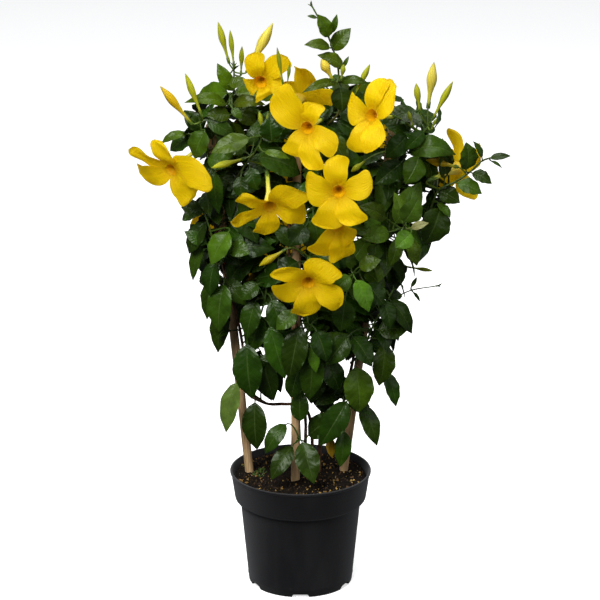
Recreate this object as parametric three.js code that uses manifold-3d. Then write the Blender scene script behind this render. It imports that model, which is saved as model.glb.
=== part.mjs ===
// A yellow mandevilla that climbs three wooden canes in a black nursery pot.
// Millimetres, +Z up, +X to the viewer's right, +Y away from the viewer.
// The origin is the middle of the pot's underside.
import * as THREE from "three";
import { mergeVertices } from "three/addons/utils/BufferGeometryUtils.js";
import Module from "manifold-3d";

const wasm = await Module();
wasm.setup();

// Pot and soil
const RIM_RADIUS = 85;
const POT_HEIGHT = 141.5;
const FOOT_RADIUS = 62.7;
const BAND_FOOT_RADIUS = 79;
const SHOULDER_RADIUS = 72.8;
const BAND_HEIGHT = 36;
const WALL = 1.9;
const FLOOR = 3;
const SOIL_TOP = 134;
const SOIL_ROUGHNESS = 1.6;
const GAP = 0.35;

// Canes and stems
const CANE_RADIUS = 5.4;
const CANE_FOOT = 24;
const VINE_RADIUS = 2.1;
const VINE_TIP_RADIUS = 1.4;
const VINE_FOOT = 92;
const TWINE_GAP = 1.2;
const STEM_BERTH = 2.4;
const PETIOLE_RADIUS = 0.9;
const STALK_RADIUS = 1.1;
const BUD_STALK_RADIUS = 0.88;
const STEM_STEP = 28;

// Leaves
const LEAF_THICKNESS = 1.2;
const LEAF_FOLD = 0.1;
const LONG_LEAF = 60;
const LONG_LEAF_STATIONS = [0.15, 0.45, 0.8];
const SHORT_LEAF_STATIONS = [0.2, 0.66];
const LEAF_SPACING = 40;
const RULE_LEAF_LENGTH = { least: 55, spread: 17 };
const RULE_LEAF_SLIMNESS = { least: 0.48, spread: 0.1 };
const LEAF_CLEARANCE = 5.4;
const PETIOLE_CLEARANCE = 3.2;
const CANE_CLEARANCE = 9;
const PETIOLE_LENGTH = 9;

// Blooms and buds
const THROAT_RADIUS = 10.5;
const THROAT_WALL = 1.3;
const THROAT_DEPTH = 20;
const TUBE_RADIUS = 2.2;
const TUBE_WAIST_RADIUS = 3.2;
const BLOOM_TUBE = 60;
const LOBES = 5;
const LOBE_ROOT = 1.6;
const LOBE_THICKNESS = 1.5;
const LOBE_HALF_WIDTH = 0.385;
const LOBE_SWEEP = 0.2;
const LOBE_RISE = 0.14;
const LOBE_DROOP = 0.2;
const LOBE_TWIST = 0.16;
const LOBE_STATIONS = [0.5, 0.86];
const OWN_SIDE = 0.48;
const CALYX_LENGTH = 9;
const CALYX_RADIUS = 2.9;

// How the plant is seen from the front: places on it are named by the picture's columns and rows
const EYE_DISTANCE = 3000;
const EYE_HEIGHT = 1316;
const EYE_PITCH = THREE.MathUtils.degToRad(17.76);
const EYE_FOCAL = 2666;
const PICTURE_MIDDLE = [300.5, 300];

const UP = new THREE.Vector3(0, 0, 1);
const DOWN = new THREE.Vector3(0, 0, -1);
const FULL_TURN = Math.PI * 2;

const vec = (x, y, z) => new THREE.Vector3(x, y, z);
const unit = (v) => v.clone().normalize();
const plus = (a, b, amount = 1) => a.clone().addScaledVector(b, amount);
const minus = (a, b) => a.clone().sub(b);
const cross = (a, b) => new THREE.Vector3().crossVectors(a, b);
const mix = (a, b, t) => a.clone().lerp(b, t);

// The point at depth y that shows at a column and row of the picture
function seen([column, row, y]) {
  const right = (column - PICTURE_MIDDLE[0]) / EYE_FOCAL;
  const high = (PICTURE_MIDDLE[1] - row) / EYE_FOCAL;
  const ray = vec(
    right,
    Math.cos(EYE_PITCH) + high * Math.sin(EYE_PITCH),
    -Math.sin(EYE_PITCH) + high * Math.cos(EYE_PITCH),
  );
  return vec(0, -EYE_DISTANCE, EYE_HEIGHT).addScaledVector(ray, (y + EYE_DISTANCE) / ray.y);
}

// A repeatable row of numbers from 0 to 1
function draws(seed) {
  let state = seed >>> 0;
  return () => {
    state = (Math.imul(state, 1664525) + 1013904223) >>> 0;
    return state / 4294967296;
  };
}

// Canes, from the soil to the top, by plan place at the soil and picture place at the top
const CANES = {
  left: { foot: seen([249.7, 473, 9]), head: seen([210.4, 124, 15]) },
  middle: { foot: seen([295.4, 480, -19]), head: seen([297, 136, -9]) },
  right: { foot: seen([343.5, 470, 15]), head: seen([393, 125, 18]) },
};

function caneAt(cane, height) {
  const run = minus(cane.head, cane.foot);
  return plus(cane.foot, run, (height - cane.foot.z) / run.z);
}

// The places of a stem that winds round a cane
function twine(cane, { from, to, start, sweep, steps }) {
  const reach = CANE_RADIUS + VINE_RADIUS + TWINE_GAP;
  return Array.from({ length: steps + 1 }, (_, i) => {
    const share = i / steps;
    const angle = THREE.MathUtils.degToRad(start + sweep * share);
    const axis = caneAt(cane, from + (to - from) * share);
    return plus(axis, vec(Math.cos(angle), Math.sin(angle), 0), reach);
  });
}

// The woody stems: up from the soil, across to their cane and round it
const VINES = {
  left: [
    vec(14, 4, VINE_FOOT),
    vec(14, 4, SOIL_TOP + 6),
    seen([312, 437, 4]),
    seen([309, 415, 3]),
    seen([301, 405, 1]),
    seen([284, 404, 2]),
    seen([265, 403, 6]),
    ...twine(CANES.left, { from: 236, to: 575, start: 50, sweep: -330, steps: 11 }),
  ],
  middle: [
    vec(5, -3, VINE_FOOT),
    vec(5, -3, SOIL_TOP + 6),
    seen([305.5, 440, -6]),
    seen([305.5, 420, -10]),
    ...twine(CANES.middle, { from: 232, to: 578, start: 0, sweep: -320, steps: 11 }),
  ],
  right: [
    vec(23, 8, VINE_FOOT),
    vec(23, 8, SOIL_TOP + 6),
    seen([320, 432, 7]),
    seen([322, 412, 6]),
    seen([335, 396, 6]),
    seen([346, 387, 8]),
    ...twine(CANES.right, { from: 262, to: 570, start: 190, sweep: 280, steps: 10 }),
  ],
};

// Leafy stems. path: column, row and depth of each place it runs through, the first one on its vine.
// leaves: base and tip by column and row, y the depth of the base, out what the tip adds to it.
// buds: tip and base. fill: the first and last share of the path that grows leaf pairs by rule.
// blooms: at, the mouth. Its lobes go to their tips, each given by column, row, half width and lean,
// or are spread evenly from the roll.
const STEMS = {
  top: {
    vine: "middle", radius: 1.5, fill: [0.1, 0.36],
    path: [[303, 150, -2], [320, 130, -8], [338, 114, -14], [342, 96, -16], [339, 80, -15], [338, 67, -14],
      [334, 52, -12], [328, 36, -10], [318, 17, -8], [313, 8, -7]],
    leaves: [
      { base: [336, 83], tip: [302, 93], y: -28, out: -18, wide: 12, rise: 0.24 },
      { base: [340, 82], tip: [369, 84], y: -20, out: -8, wide: 12, rise: 0.22 },
      { base: [340, 87], tip: [342, 112], y: -26, out: -4, wide: 26 },
      { base: [343, 66], tip: [317, 55], y: -18, out: -6, wide: 18, rise: 0.14 },
      { base: [330, 48], tip: [304, 45], y: -14, out: -6, wide: 14, rise: 0.2 },
      { base: [332, 50], tip: [351, 28], y: -10, out: 2, wide: 20 },
      { base: [329, 37], tip: [317, 14], y: -17, out: -5, wide: 18 },
      { base: [332, 33], tip: [337, 14], y: -6, out: 2, wide: 8 },
    ],
    buds: [
      { tip: [321, 59], base: [333, 80], y: -34, wide: 11 },
      { tip: [344, 64], base: [341, 80], y: -24, wide: 6 },
      { tip: [370, 64], base: [355, 94], y: -28, wide: 7 },
    ],
  },
  left_top: {
    vine: "left", radius: 1.5, fill: [0.2, 0.5],
    path: [[210, 116, 24], [221, 109, 10], [230, 100, -6], [234, 90, -12], [234, 79, -12], [234, 70, -10]],
    leaves: [
      { base: [233, 91], tip: [217, 63], y: -18, out: 4, wide: 17 },
      { base: [229, 85], tip: [249, 81], y: -38, out: -2, wide: 15 },
      { base: [227, 105], tip: [184, 103], y: -18, out: -8, wide: 16, rise: 0.3 },
      { base: [233, 105], tip: [266, 105], y: -20, out: -14, wide: 16, rise: 0.28 },
      { base: [230, 115], tip: [206, 116], y: -30, out: -8, wide: 20 },
      { base: [239, 109], tip: [256, 126], y: -6, out: -6, wide: 20 },
    ],
    buds: [
      { tip: [218, 22], base: [229, 63], y: -12, wide: 8 },
      { tip: [230, 30], base: [234, 67], y: -20, wide: 6 },
      { tip: [273, 23], base: [247, 72], y: -14, wide: 12 },
      { tip: [242, 46], base: [241, 75], y: -2, wide: 6 },
    ],
  },
  left_flower: {
    vine: "left", radius: 1.5,
    path: [[217, 182, 2], [210, 162, -16], [206, 146, -26], [202, 132, -30], [200, 122, -30]],
    leaves: [
      { base: [203, 130], tip: [184, 110], y: -22, out: 6, wide: 20 },
      { base: [205, 131], tip: [195, 159], y: -24, out: 0, wide: 30 },
      { base: [187, 134], tip: [161, 144], y: -30, out: -2, wide: 12, rise: 0.22 },
      { base: [192, 136], tip: [170, 151], y: -20, out: 4, wide: 25 },
      { base: [215, 172], tip: [219, 214], y: -38, out: -6, wide: 22 },
      { base: [208, 158], tip: [231, 166], y: -40, out: -12, wide: 22 },
    ],
    buds: [
      { tip: [160, 86], base: [192, 124], y: -32, wide: 10 },
      { tip: [185, 73], base: [202, 116], y: -30, wide: 8 },
    ],
    blooms: [
      {
        name: "left", at: [167, 173, -56], face: [-0.58, -0.76, -0.29], reach: 50,
        tips: [
          [159, 144, 17, -0.1], [206, 177, 20, 0.3], [193, 198, 18, 0],
          [140, 177, 15, 0], [129, 148, 9, -0.1],
        ],
      },
    ],
  },
  left_middle: {
    vine: "left", radius: 1.6,
    path: [[224, 205, 12], [232, 186, -14], [242, 170, -38], [252, 156, -52], [260, 143, -58],
      [262, 132, -58]],
    leaves: [
      { base: [249, 138], tip: [211, 153], y: -74, out: -8, wide: 23, rise: 0.08 },
      { base: [272, 141], tip: [270, 116], y: -66, out: 4, wide: 26 },
      { base: [250, 168], tip: [257, 190], y: -62, out: -6, wide: 19 },
      { base: [241, 176], tip: [242, 200], y: -56, out: -6, wide: 18 },
      { base: [246, 152], tip: [224, 142], y: -46, out: 8, wide: 20 },
      { base: [264, 152], tip: [290, 159], y: -66, out: -4, wide: 9, rise: 0.16 },
    ],
    buds: [
      { tip: [211, 168], base: [246, 158], y: -66, wide: 8 },
      { tip: [259, 111], base: [264, 134], y: -62, wide: 6 },
      { tip: [268, 112], base: [266, 132], y: -54, wide: 4 },
    ],
    blooms: [
      {
        name: "front_left", at: [270, 211, -104], face: [0.06, -0.88, -0.47], reach: 46,
        tips: [
          [299, 190, 18, 0.15], [307, 213, 17, 0.1], [266, 234, 14, 0],
          [230, 223, 9, -0.15], [239, 197, 10, -0.1],
        ],
      },
    ],
  },
  left_side: {
    vine: "left", radius: 1.5,
    path: [[233, 300, 4], [222, 286, -14], [217, 266, -24], [214, 246, -28], [209, 226, -28],
      [203, 210, -24]],
    leaves: [
      { base: [229, 232], tip: [211, 265], y: -52, out: -6, wide: 30 },
      { base: [230, 246], tip: [250, 254], y: -46, out: -14, wide: 22 },
      { base: [203, 212], tip: [181, 207], y: -28, out: 2, wide: 20 },
      { base: [206, 222], tip: [189, 254], y: -22, out: 2, wide: 24 },
      { base: [203, 240], tip: [193, 281], y: -12, out: 2, wide: 18 },
      { base: [215, 262], tip: [210, 296], y: -40, out: -2, wide: 24 },
      { base: [224, 284], tip: [219, 332], y: -38, out: -6, wide: 33 },
      { base: [216, 276], tip: [207, 320], y: -18, out: 2, wide: 24 },
      { base: [226, 305], tip: [218, 353], y: -16, out: -2, wide: 27 },
    ],
  },
  low_cross: {
    vine: "left", radius: 1.3,
    path: [[266, 403, 5], [260, 399, -6], [250, 392, -12], [243, 385, -14]],
    leaves: [
      { base: [255, 402], tip: [257, 450], y: -20, out: -4, wide: 31 },
      { base: [237, 382], tip: [226, 433], y: -22, out: -6, wide: 25 },
      { base: [258, 376], tip: [272, 401], y: 4, out: 4, wide: 22 },
    ],
  },
  low_left: {
    vine: "left", radius: 1.5, fill: [0.5, 0.95],
    path: [[240, 352, 8], [248, 340, -8], [255, 326, -18], [262, 310, -26], [266, 292, -30],
      [266, 276, -24]],
    leaves: [
      { base: [247, 344], tip: [252, 399], y: -28, out: -6, wide: 36 },
      { base: [262, 354], tip: [274, 401], y: -16, out: -2, wide: 26 },
      { base: [270, 352], tip: [281, 393], y: -2, out: 2, wide: 18 },
      { base: [270, 326], tip: [285, 379], y: -34, out: -4, wide: 28 },
      { base: [262, 318], tip: [250, 354], y: -20, out: -6, wide: 28 },
      { base: [256, 300], tip: [247, 338], y: -36, out: -4, wide: 26 },
      { base: [272, 300], tip: [284, 334], y: -50, out: -8, wide: 26 },
      { base: [258, 284], tip: [241, 300], y: -40, out: -4, wide: 22 },
    ],
    blooms: [
      { name: "inner_left", at: [249, 260, 13], face: [-0.2, -0.95, 0.1], reach: 24, roll: 0, tube: 30 },
    ],
  },
  soil_level: {
    vine: "middle", radius: 1.2,
    path: [[305.5, 440, -6], [304, 441, -20], [300, 440, -33]],
    leaves: [
      { base: [286, 424], tip: [265, 454], y: -38, out: -8, wide: 21, rise: 0.2 },
      { base: [292, 446], tip: [271, 480], y: -42, out: -18, wide: 23, rise: 0.12 },
      { base: [302, 442], tip: [314, 484], y: -40, out: -24, wide: 29, rise: 0.06 },
    ],
  },
  low_middle: {
    vine: "middle", radius: 1.5,
    path: [[297, 372, -26], [302, 356, -40], [306, 340, -46], [308, 324, -48], [306, 308, -46]],
    leaves: [
      { base: [300, 326], tip: [289, 380], y: -58, out: -6, wide: 31 },
      { base: [311, 346], tip: [316, 373], y: -62, out: -6, wide: 14 },
      { base: [298, 370], tip: [291, 398], y: -42, out: 2, wide: 22 },
      { base: [314, 350], tip: [309, 400], y: -44, out: 4, wide: 29 },
      { base: [316, 330], tip: [327, 362], y: -48, out: -6, wide: 26 },
      { base: [296, 312], tip: [276, 330], y: -54, out: -6, wide: 22 },
    ],
  },
  low_right: {
    vine: "right", radius: 1.3,
    path: [[342, 389, 8], [343, 396, -10], [344, 410, -16], [343, 426, -14]],
    leaves: [
      { base: [347, 401], tip: [320, 446], y: -30, out: -8, wide: 31 },
      { base: [344, 431], tip: [340, 467], y: -20, out: -6, wide: 21 },
      { base: [329, 437], tip: [332, 458], y: -24, out: -2, wide: 12 },
      { base: [361, 405], tip: [377, 446], y: -8, out: -6, wide: 25 },
    ],
  },
  right_low: {
    vine: "right", radius: 1.5,
    path: [[359, 366, 8], [363, 352, -8], [368, 338, -18], [375, 322, -24], [384, 306, -26],
      [392, 292, -24]],
    leaves: [
      { base: [355, 367], tip: [359, 413], y: -24, out: -4, wide: 38 },
      { base: [384, 344], tip: [379, 386], y: -22, out: -2, wide: 30 },
      { base: [385, 372], tip: [396, 407], y: -4, out: -2, wide: 20 },
      { base: [378, 330], tip: [408, 330], y: -30, out: 2, wide: 26 },
      { base: [390, 300], tip: [412, 334], y: -34, out: 4, wide: 25 },
      { base: [352, 336], tip: [372, 367], y: -46, out: -8, wide: 26 },
      { base: [348, 336], tip: [326, 365], y: -54, out: -6, wide: 28 },
      { base: [383, 300], tip: [390, 330], y: -46, out: -6, wide: 22 },
    ],
  },
  right_thin: {
    vine: "right", radius: 1,
    path: [[372, 318, 16], [386, 304, 4], [409, 291, 0], [436, 286, -2]],
    leaves: [
    ],
  },
  bright: {
    vine: "right", radius: 1.4,
    path: [[373, 262, 8], [366, 266, -22], [358, 272, -50], [353, 274, -64]],
    leaves: [
      { base: [350, 276], tip: [332, 293], y: -76, out: -6, wide: 21 },
      { base: [356, 280], tip: [369, 312], y: -76, out: -6, wide: 24 },
      { base: [359, 267], tip: [381, 260], y: -70, out: -4, wide: 20 },
      { base: [351, 269], tip: [349, 249], y: -74, out: 2, wide: 13 },
      { base: [366, 284], tip: [384, 306], y: -52, out: -2, wide: 26 },
      { base: [345, 300], tip: [340, 332], y: -56, out: -4, wide: 28 },
    ],
  },
  rosette: {
    vine: "right", radius: 1.5,
    path: [[380, 236, 14], [388, 232, -18], [398, 229, -44], [406, 227, -62]],
    leaves: [
      { base: [401, 217], tip: [394, 192], y: -58, out: 8, wide: 16 },
      { base: [408, 208], tip: [413, 187], y: -52, out: 8, wide: 13 },
      { base: [404, 222], tip: [419, 197], y: -76, out: 0, wide: 27 },
      { base: [411, 228], tip: [429, 223], y: -76, out: -4, wide: 10 },
      { base: [411, 233], tip: [395, 248], y: -80, out: -10, wide: 22 },
      { base: [398, 238], tip: [390, 266], y: -64, out: -6, wide: 18 },
      { base: [389, 232], tip: [362, 239], y: -58, out: -12, wide: 23 },
      { base: [386, 218], tip: [359, 206], y: -46, out: -10, wide: 23 },
      { base: [408, 240], tip: [417, 266], y: -54, out: 0, wide: 22 },
      { base: [376, 244], tip: [372, 262], y: -36, out: -12, wide: 20 },
    ],
  },
  right_far: {
    vine: "right", radius: 1.5,
    path: [[385, 205, 20], [406, 222, 10], [424, 224, 0], [431, 208, -6], [439, 190, -8], [455, 182, -10],
      [470, 172, -12], [482, 161, -12], [494, 157, -12]],
    leaves: [
      { base: [466, 170], tip: [466, 142], y: -22, out: 2, wide: 30 },
      { base: [482, 158], tip: [473, 141], y: -6, out: 6, wide: 10 },
      { base: [457, 183], tip: [482, 194], y: -25, out: -6, wide: 22 },
      { base: [472, 173], tip: [492, 184], y: -16, out: -4, wide: 20 },
      { base: [490, 158], tip: [511, 156], y: -16, out: -2, wide: 9 },
      { base: [491, 161], tip: [502, 168], y: -8, out: 0, wide: 5 },
      { base: [440, 208], tip: [424, 245], y: -22, out: -8, wide: 42 },
      { base: [438, 191], tip: [460, 203], y: -6, out: -4, wide: 26 },
    ],
    buds: [{ tip: [426, 160], base: [458, 167], y: -30, wide: 10 }],
    blooms: [
      {
        name: "right", at: [462, 166, 14], face: [0.68, 0.7, 0.1], reach: 42, tube: 52,
        tips: [
          [451, 128, 11, 0.15], [482, 150, 10, 0.2], [469, 199, 13, 0.2],
          [441, 184, 14, 0.2], [440, 153, 13, 0.2],
        ],
      },
    ],
  },
  right_top: {
    vine: "right", radius: 1.5,
    path: [[390, 165, 14], [402, 152, -2], [414, 142, -12], [424, 132, -16], [428, 126, -16]],
    leaves: [
      { base: [419, 157], tip: [405, 184], y: -40, out: -12, wide: 28 },
      { base: [408, 152], tip: [456, 155], y: -22, out: -4, wide: 29, rise: 0.32 },
      { base: [424, 131], tip: [404, 150], y: -30, out: -8, wide: 16 },
      { base: [417, 123], tip: [416, 98], y: 6, out: 8, wide: 22 },
      { base: [406, 126], tip: [401, 101], y: 0, out: 6, wide: 18 },
      { base: [407, 136], tip: [385, 158], y: -26, out: -10, wide: 24 },
      { base: [402, 162], tip: [374, 185], y: -38, out: -14, wide: 26 },
      { base: [436, 126], tip: [438, 104], y: 2, out: 6, wide: 13 },
      { base: [426, 158], tip: [432, 186], y: -12, out: 2, wide: 24 },
    ],
    buds: [
      { tip: [416, 83], base: [420, 112], y: -22, wide: 8 },
      { tip: [434, 62], base: [428, 108], y: -16, wide: 12 },
      { tip: [453, 81], base: [432, 120], y: -14, wide: 8 },
      { tip: [408, 111], base: [413, 126], y: -26, wide: 5 },
      { tip: [437, 118], base: [431, 130], y: -26, wide: 4 },
      { tip: [351, 172], base: [366, 160], y: -46, wide: 7 },
    ],
    blooms: [
      {
        name: "upper_right", at: [368, 115, -72], face: [-0.55, -0.8, 0.24], reach: 49, tube: 52,
        tips: [
          [380, 77, 13, 0], [396, 88, 16, -0.2], [375, 151, 15, 0.1],
          [356, 153, 14, 0.1], [348, 107, 17, 0.1],
        ],
      },
    ],
  },
  centre_top: {
    vine: "middle", radius: 1.7,
    path: [[301, 165, -4], [302, 148, -18], [300, 134, -26], [296, 118, -30], [292, 106, -30]],
    leaves: [
      { base: [288, 118], tip: [268, 132], y: -38, out: -8, wide: 20 },
      { base: [312, 140], tip: [318, 164], y: -30, out: -8, wide: 24 },
      { base: [304, 118], tip: [329, 110], y: -34, out: -6, wide: 20 },
    ],
    buds: [
      { tip: [277, 47], base: [283, 84], y: -68, wide: 5 },
      { tip: [290, 63], base: [287, 86], y: -66, wide: 4 },
    ],
    blooms: [
      {
        name: "centre", at: [305, 129, -98], face: [-0.3, -0.94, 0.06], reach: 48,
        tips: [
          [315, 102, 13, 0.1], [338, 148, 13, 0], [315, 171, 12, -0.1],
          [293, 157, 13, 0], [273, 92, 20, 0],
        ],
      },
      { name: "inner", at: [279, 167, 20], face: [-0.72, 0.66, -0.1], reach: 28, roll: 50, tube: 24 },
      {
        name: "top_left", at: [259, 84, -46], face: [-0.2, -0.97, -0.1], reach: 40, tube: 52,
        tips: [
          [285, 55, 12, 0], [284, 86, 12, 0.1], [266, 98, 12, 0.1],
          [246, 88, 11, 0], [252, 53, 12, 0],
        ],
      },
      {
        name: "top", at: [302, 92, 6], face: [0.3, 0.72, 0.62], reach: 42, tube: 38,
        tips: [
          [308, 66, 14, 0], [335, 100, 14, 0], [316, 112, 13, 0.1],
          [288, 104, 13, 0.1], [283, 82, 12, 0],
        ],
      },
    ],
  },
  centre: {
    vine: "middle", radius: 1.6,
    path: [[299, 222, -6], [310, 210, -26], [322, 200, -40], [332, 196, -48]],
    leaves: [
      { base: [322, 190], tip: [297, 190], y: -58, out: -6, wide: 22 },
      { base: [306, 226], tip: [290, 246], y: -48, out: -10, wide: 26 },
      { base: [344, 200], tip: [366, 222], y: -52, out: -8, wide: 24 },
      { base: [314, 218], tip: [318, 242], y: -44, out: -6, wide: 22 },
    ],
    buds: [{ tip: [300, 238], base: [304, 221], y: -40, wide: 4 }],
    blooms: [
      {
        name: "front_right", at: [338, 193, -118], face: [-0.1, -0.99, 0.02], reach: 42,
        tips: [
          [335, 156, 14, 0.05], [373, 181, 14, -0.1], [358, 225, 14, -0.15],
          [326, 230, 17, 0.05], [305, 188, 19, 0.1],
        ],
      },
      {
        name: "below_front", at: [337, 231, -95], face: [0.04, -0.9, -0.42], reach: 37, tube: 48,
        tips: [
          [348, 213, 12, 0], [354, 240, 12, 0.1], [345, 259, 15, 0],
          [318, 257, 15, 0], [322, 213, 12, 0],
        ],
      },
    ],
  },
  centre_low: {
    vine: "middle", radius: 1.5,
    path: [[299, 292, -12], [305, 278, -30], [309, 266, -40], [310, 258, -42]],
    leaves: [
      { base: [298, 262], tip: [275, 276], y: -44, out: -10, wide: 26 },
      { base: [318, 256], tip: [340, 268], y: -56, out: -8, wide: 24 },
      { base: [300, 272], tip: [292, 306], y: -40, out: -6, wide: 28 },
      { base: [316, 272], tip: [330, 306], y: -38, out: -6, wide: 28 },
    ],
    buds: [{ tip: [259, 266], base: [286, 249], y: -60, wide: 9 }],
    blooms: [
      {
        name: "low", at: [308, 286, -104], face: [-0.03, -0.97, -0.24], reach: 42,
        tips: [
          [329, 264, 20, 0.1], [344, 301, 14, 0], [306, 317, 16, 0.05],
          [274, 297, 14, 0], [275, 271, 14, -0.35],
        ],
      },
    ],
  },
  right_side: {
    vine: "right", radius: 1.4, fill: [0.35, 1],
    path: [[374, 270, 20], [392, 262, 22], [404, 248, 24], [410, 230, 26]],
    buds: [{ tip: [433, 271], base: [408, 267], y: 16, wide: 5 }],
  },
  left_back: {
    vine: "left", radius: 1.5, fill: [0.2, 1],
    path: [[230, 290, 18], [222, 272, 48], [212, 248, 72], [206, 226, 86]],
    blooms: [
      { name: "back_left", at: [224, 210, 118], face: [-0.35, 0.9, 0.25], reach: 42, roll: 10, tube: 46 },
    ],
  },
  left_back_top: {
    vine: "left", radius: 1.5, fill: [0.2, 1],
    path: [[222, 196, 20], [228, 176, 46], [236, 154, 68], [242, 134, 80], [246, 116, 84]],
  },
  middle_back_low: {
    vine: "middle", radius: 1.5, fill: [0.2, 1],
    path: [[297, 340, -6], [300, 318, 28], [296, 292, 58], [290, 268, 80]],
    blooms: [
      { name: "back_low", at: [284, 240, 116], face: [-0.05, 0.96, 0.2], reach: 43, roll: 40, tube: 46 },
    ],
  },
  middle_back: {
    vine: "middle", radius: 1.5, fill: [0.2, 1],
    path: [[297, 238, 0], [288, 216, 34], [280, 192, 64], [274, 168, 84]],
    blooms: [
      { name: "back", at: [268, 142, 122], face: [0.05, 0.93, 0.35], reach: 46, roll: 18, tube: 46 },
    ],
  },
  middle_back_top: {
    vine: "middle", radius: 1.5, fill: [0.2, 1],
    path: [[300, 180, 0], [312, 158, 32], [322, 134, 56], [328, 112, 68], [330, 94, 70]],
  },
  right_back_low: {
    vine: "right", radius: 1.5, fill: [0.2, 1],
    path: [[362, 330, 22], [364, 306, 50], [360, 282, 76], [354, 258, 92]],
  },
  right_back: {
    vine: "right", radius: 1.5, fill: [0.2, 1],
    path: [[382, 220, 24], [386, 198, 52], [382, 174, 76], [374, 152, 90]],
    blooms: [
      { name: "back_right", at: [372, 122, 122], face: [0.3, 0.86, 0.42], reach: 44, roll: 52, tube: 46 },
    ],
  },
};

// How far the crown reaches to the left and right at each row of the picture
const CROWN_EDGE = [
  { row: 70, left: 225, right: 395 },
  { row: 100, left: 190, right: 430 },
  { row: 150, left: 180, right: 452 },
  { row: 210, left: 180, right: 450 },
  { row: 250, left: 190, right: 425 },
  { row: 300, left: 204, right: 404 },
  { row: 350, left: 216, right: 396 },
  { row: 400, left: 236, right: 380 },
  { row: 440, left: 262, right: 350 },
].map(({ row, left, right }) => ({ low: seen([left, row, 0]), high: seen([right, row, 0]) }));
const CROWN_FRONT = -44;
const CROWN_BACK = 136;
const CROWN_LOWEST = 205;

function inCrown(place) {
  if (place.y < CROWN_FRONT || place.y > CROWN_BACK || place.z < CROWN_LOWEST) return false;
  const below = CROWN_EDGE.findIndex(({ low }) => low.z <= place.z);
  if (below < 1) return false;
  const upper = CROWN_EDGE[below - 1];
  const lower = CROWN_EDGE[below];
  const share = (upper.low.z - place.z) / (upper.low.z - lower.low.z);
  const left = upper.low.x + (lower.low.x - upper.low.x) * share;
  const right = upper.high.x + (lower.high.x - upper.high.x) * share;
  return place.x > left && place.x < right;
}

const curveThrough = (places) => new THREE.CatmullRomCurve3(places, false, "catmullrom", 0.5);

function placesAlong(curve, count) {
  return Array.from({ length: count + 1 }, (_, i) => curve.getPoint(i / count));
}

function nearestPlace(places, target) {
  return places.reduce((best, place) => (
    place.distanceToSquared(target) < best.distanceToSquared(target) ? place : best));
}

// The nearest place to a target on a line of straight stretches
function nearestOn(places, target) {
  const ends = places.slice(1).map((end, i) => (
    new THREE.Line3(places[i], end).closestPointToPoint(target, true, vec(0, 0, 0))));
  return nearestPlace(ends, target);
}

// A leaf blade: a middle line that arches from base to tip, and how far each side stands from it
function makeBlade({ root, base, tip, wide, rise = 0.1, face }) {
  const run = minus(tip, base);
  const length = run.length();
  const side = unit(cross(run, face));
  const normal = unit(cross(side, run));
  const middle = plus(mix(base, tip, 0.5), normal, rise * length * 2);
  return { root, base, tip, wide, length, side, middle };
}

function bladeWidth(t) {
  const drip = 1 - 0.3 * Math.max(0, (t - 0.75) / 0.25);
  return Math.sin(Math.PI * t ** 0.8) ** 0.8 * drip;
}

function bladeFrame(blade, t) {
  const place = mix(mix(blade.base, blade.middle, t), mix(blade.middle, blade.tip, t), t);
  const along = unit(mix(minus(blade.middle, blade.base), minus(blade.tip, blade.middle), t));
  return { place, along, normal: unit(cross(blade.side, along)) };
}

// The blade's surface at share t of its length and share v, from -1 to 1, of its width
function bladePlace(blade, t, v) {
  const { place, normal } = bladeFrame(blade, t);
  const half = (blade.wide / 2) * bladeWidth(t);
  const out = plus(place, blade.side, v * half * Math.cos(LEAF_FOLD));
  return plus(out, normal, Math.abs(v) * half * Math.sin(LEAF_FOLD));
}

// A bloom's frame: the middle of its mouth, the way it faces, and up and right across its face
function bloomFrame({ at, face, reach, roll, tips, tube = BLOOM_TUBE, name }) {
  const front = unit(vec(...face));
  const up = unit(plus(UP, front, -front.dot(UP)));
  const frame = { name, mouth: seen(at), front, up, right: cross(up, front), reach, tube };
  const even = (_, i) => ({
    angle: THREE.MathUtils.degToRad(roll + (i * 360) / LOBES),
    reach,
    half: reach * LOBE_HALF_WIDTH,
    lean: LOBE_SWEEP,
  });
  const lobes = tips ? tips.map((tip) => lobeTo(frame, tip)) : Array.from({ length: LOBES }, even);
  return { ...frame, lobes: lobes.sort((a, b) => a.angle - b.angle) };
}

// A lobe of some half width that ends at a place of the picture, in the plane of its bloom's mouth. It leans
// sideways by a share of its reach, to the right as seen from its front.
function lobeTo({ mouth, front, up, right }, [column, row, half, lean = LOBE_SWEEP]) {
  const near = seen([column, row, -200]);
  const run = minus(seen([column, row, 200]), near);
  const away = minus(plus(near, run, minus(mouth, near).dot(front) / run.dot(front)), mouth);
  const [x, y] = [away.dot(right), away.dot(up)];
  const angle = Math.atan2(x, y) - Math.atan(lean);
  return { angle, reach: Math.hypot(x, y) / Math.hypot(1, lean), half, lean };
}

function lobeShape(q) {
  const swell = 0.62 + 0.38 * Math.sin((Math.PI / 2) * Math.min(q / 0.45, 1));
  const end = Math.sqrt(Math.max(0, 1 - (Math.max(0, q - 0.65) / 0.35) ** 2));
  return swell * end;
}

// A petal lobe's surface at share q from mouth to tip and share v across it
function lobePlace(bloom, lobe, q, v) {
  const { angle, reach, half: widest, lean } = bloom.lobes[lobe];
  const out = plus(bloom.up.clone().multiplyScalar(Math.cos(angle)), bloom.right, Math.sin(angle));
  const across = plus(bloom.right.clone().multiplyScalar(Math.cos(angle)), bloom.up, -Math.sin(angle));
  const root = THROAT_RADIUS - LOBE_ROOT;
  const half = widest * lobeShape(q);
  const place = plus(bloom.mouth, out, root + (reach - root) * q);
  place.addScaledVector(across, v * half + lean * reach * q * q);
  const lift = reach * (LOBE_RISE * q - LOBE_DROOP * q * q);
  return place.addScaledVector(bloom.front, lift + LOBE_TWIST * v * half);
}

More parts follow.
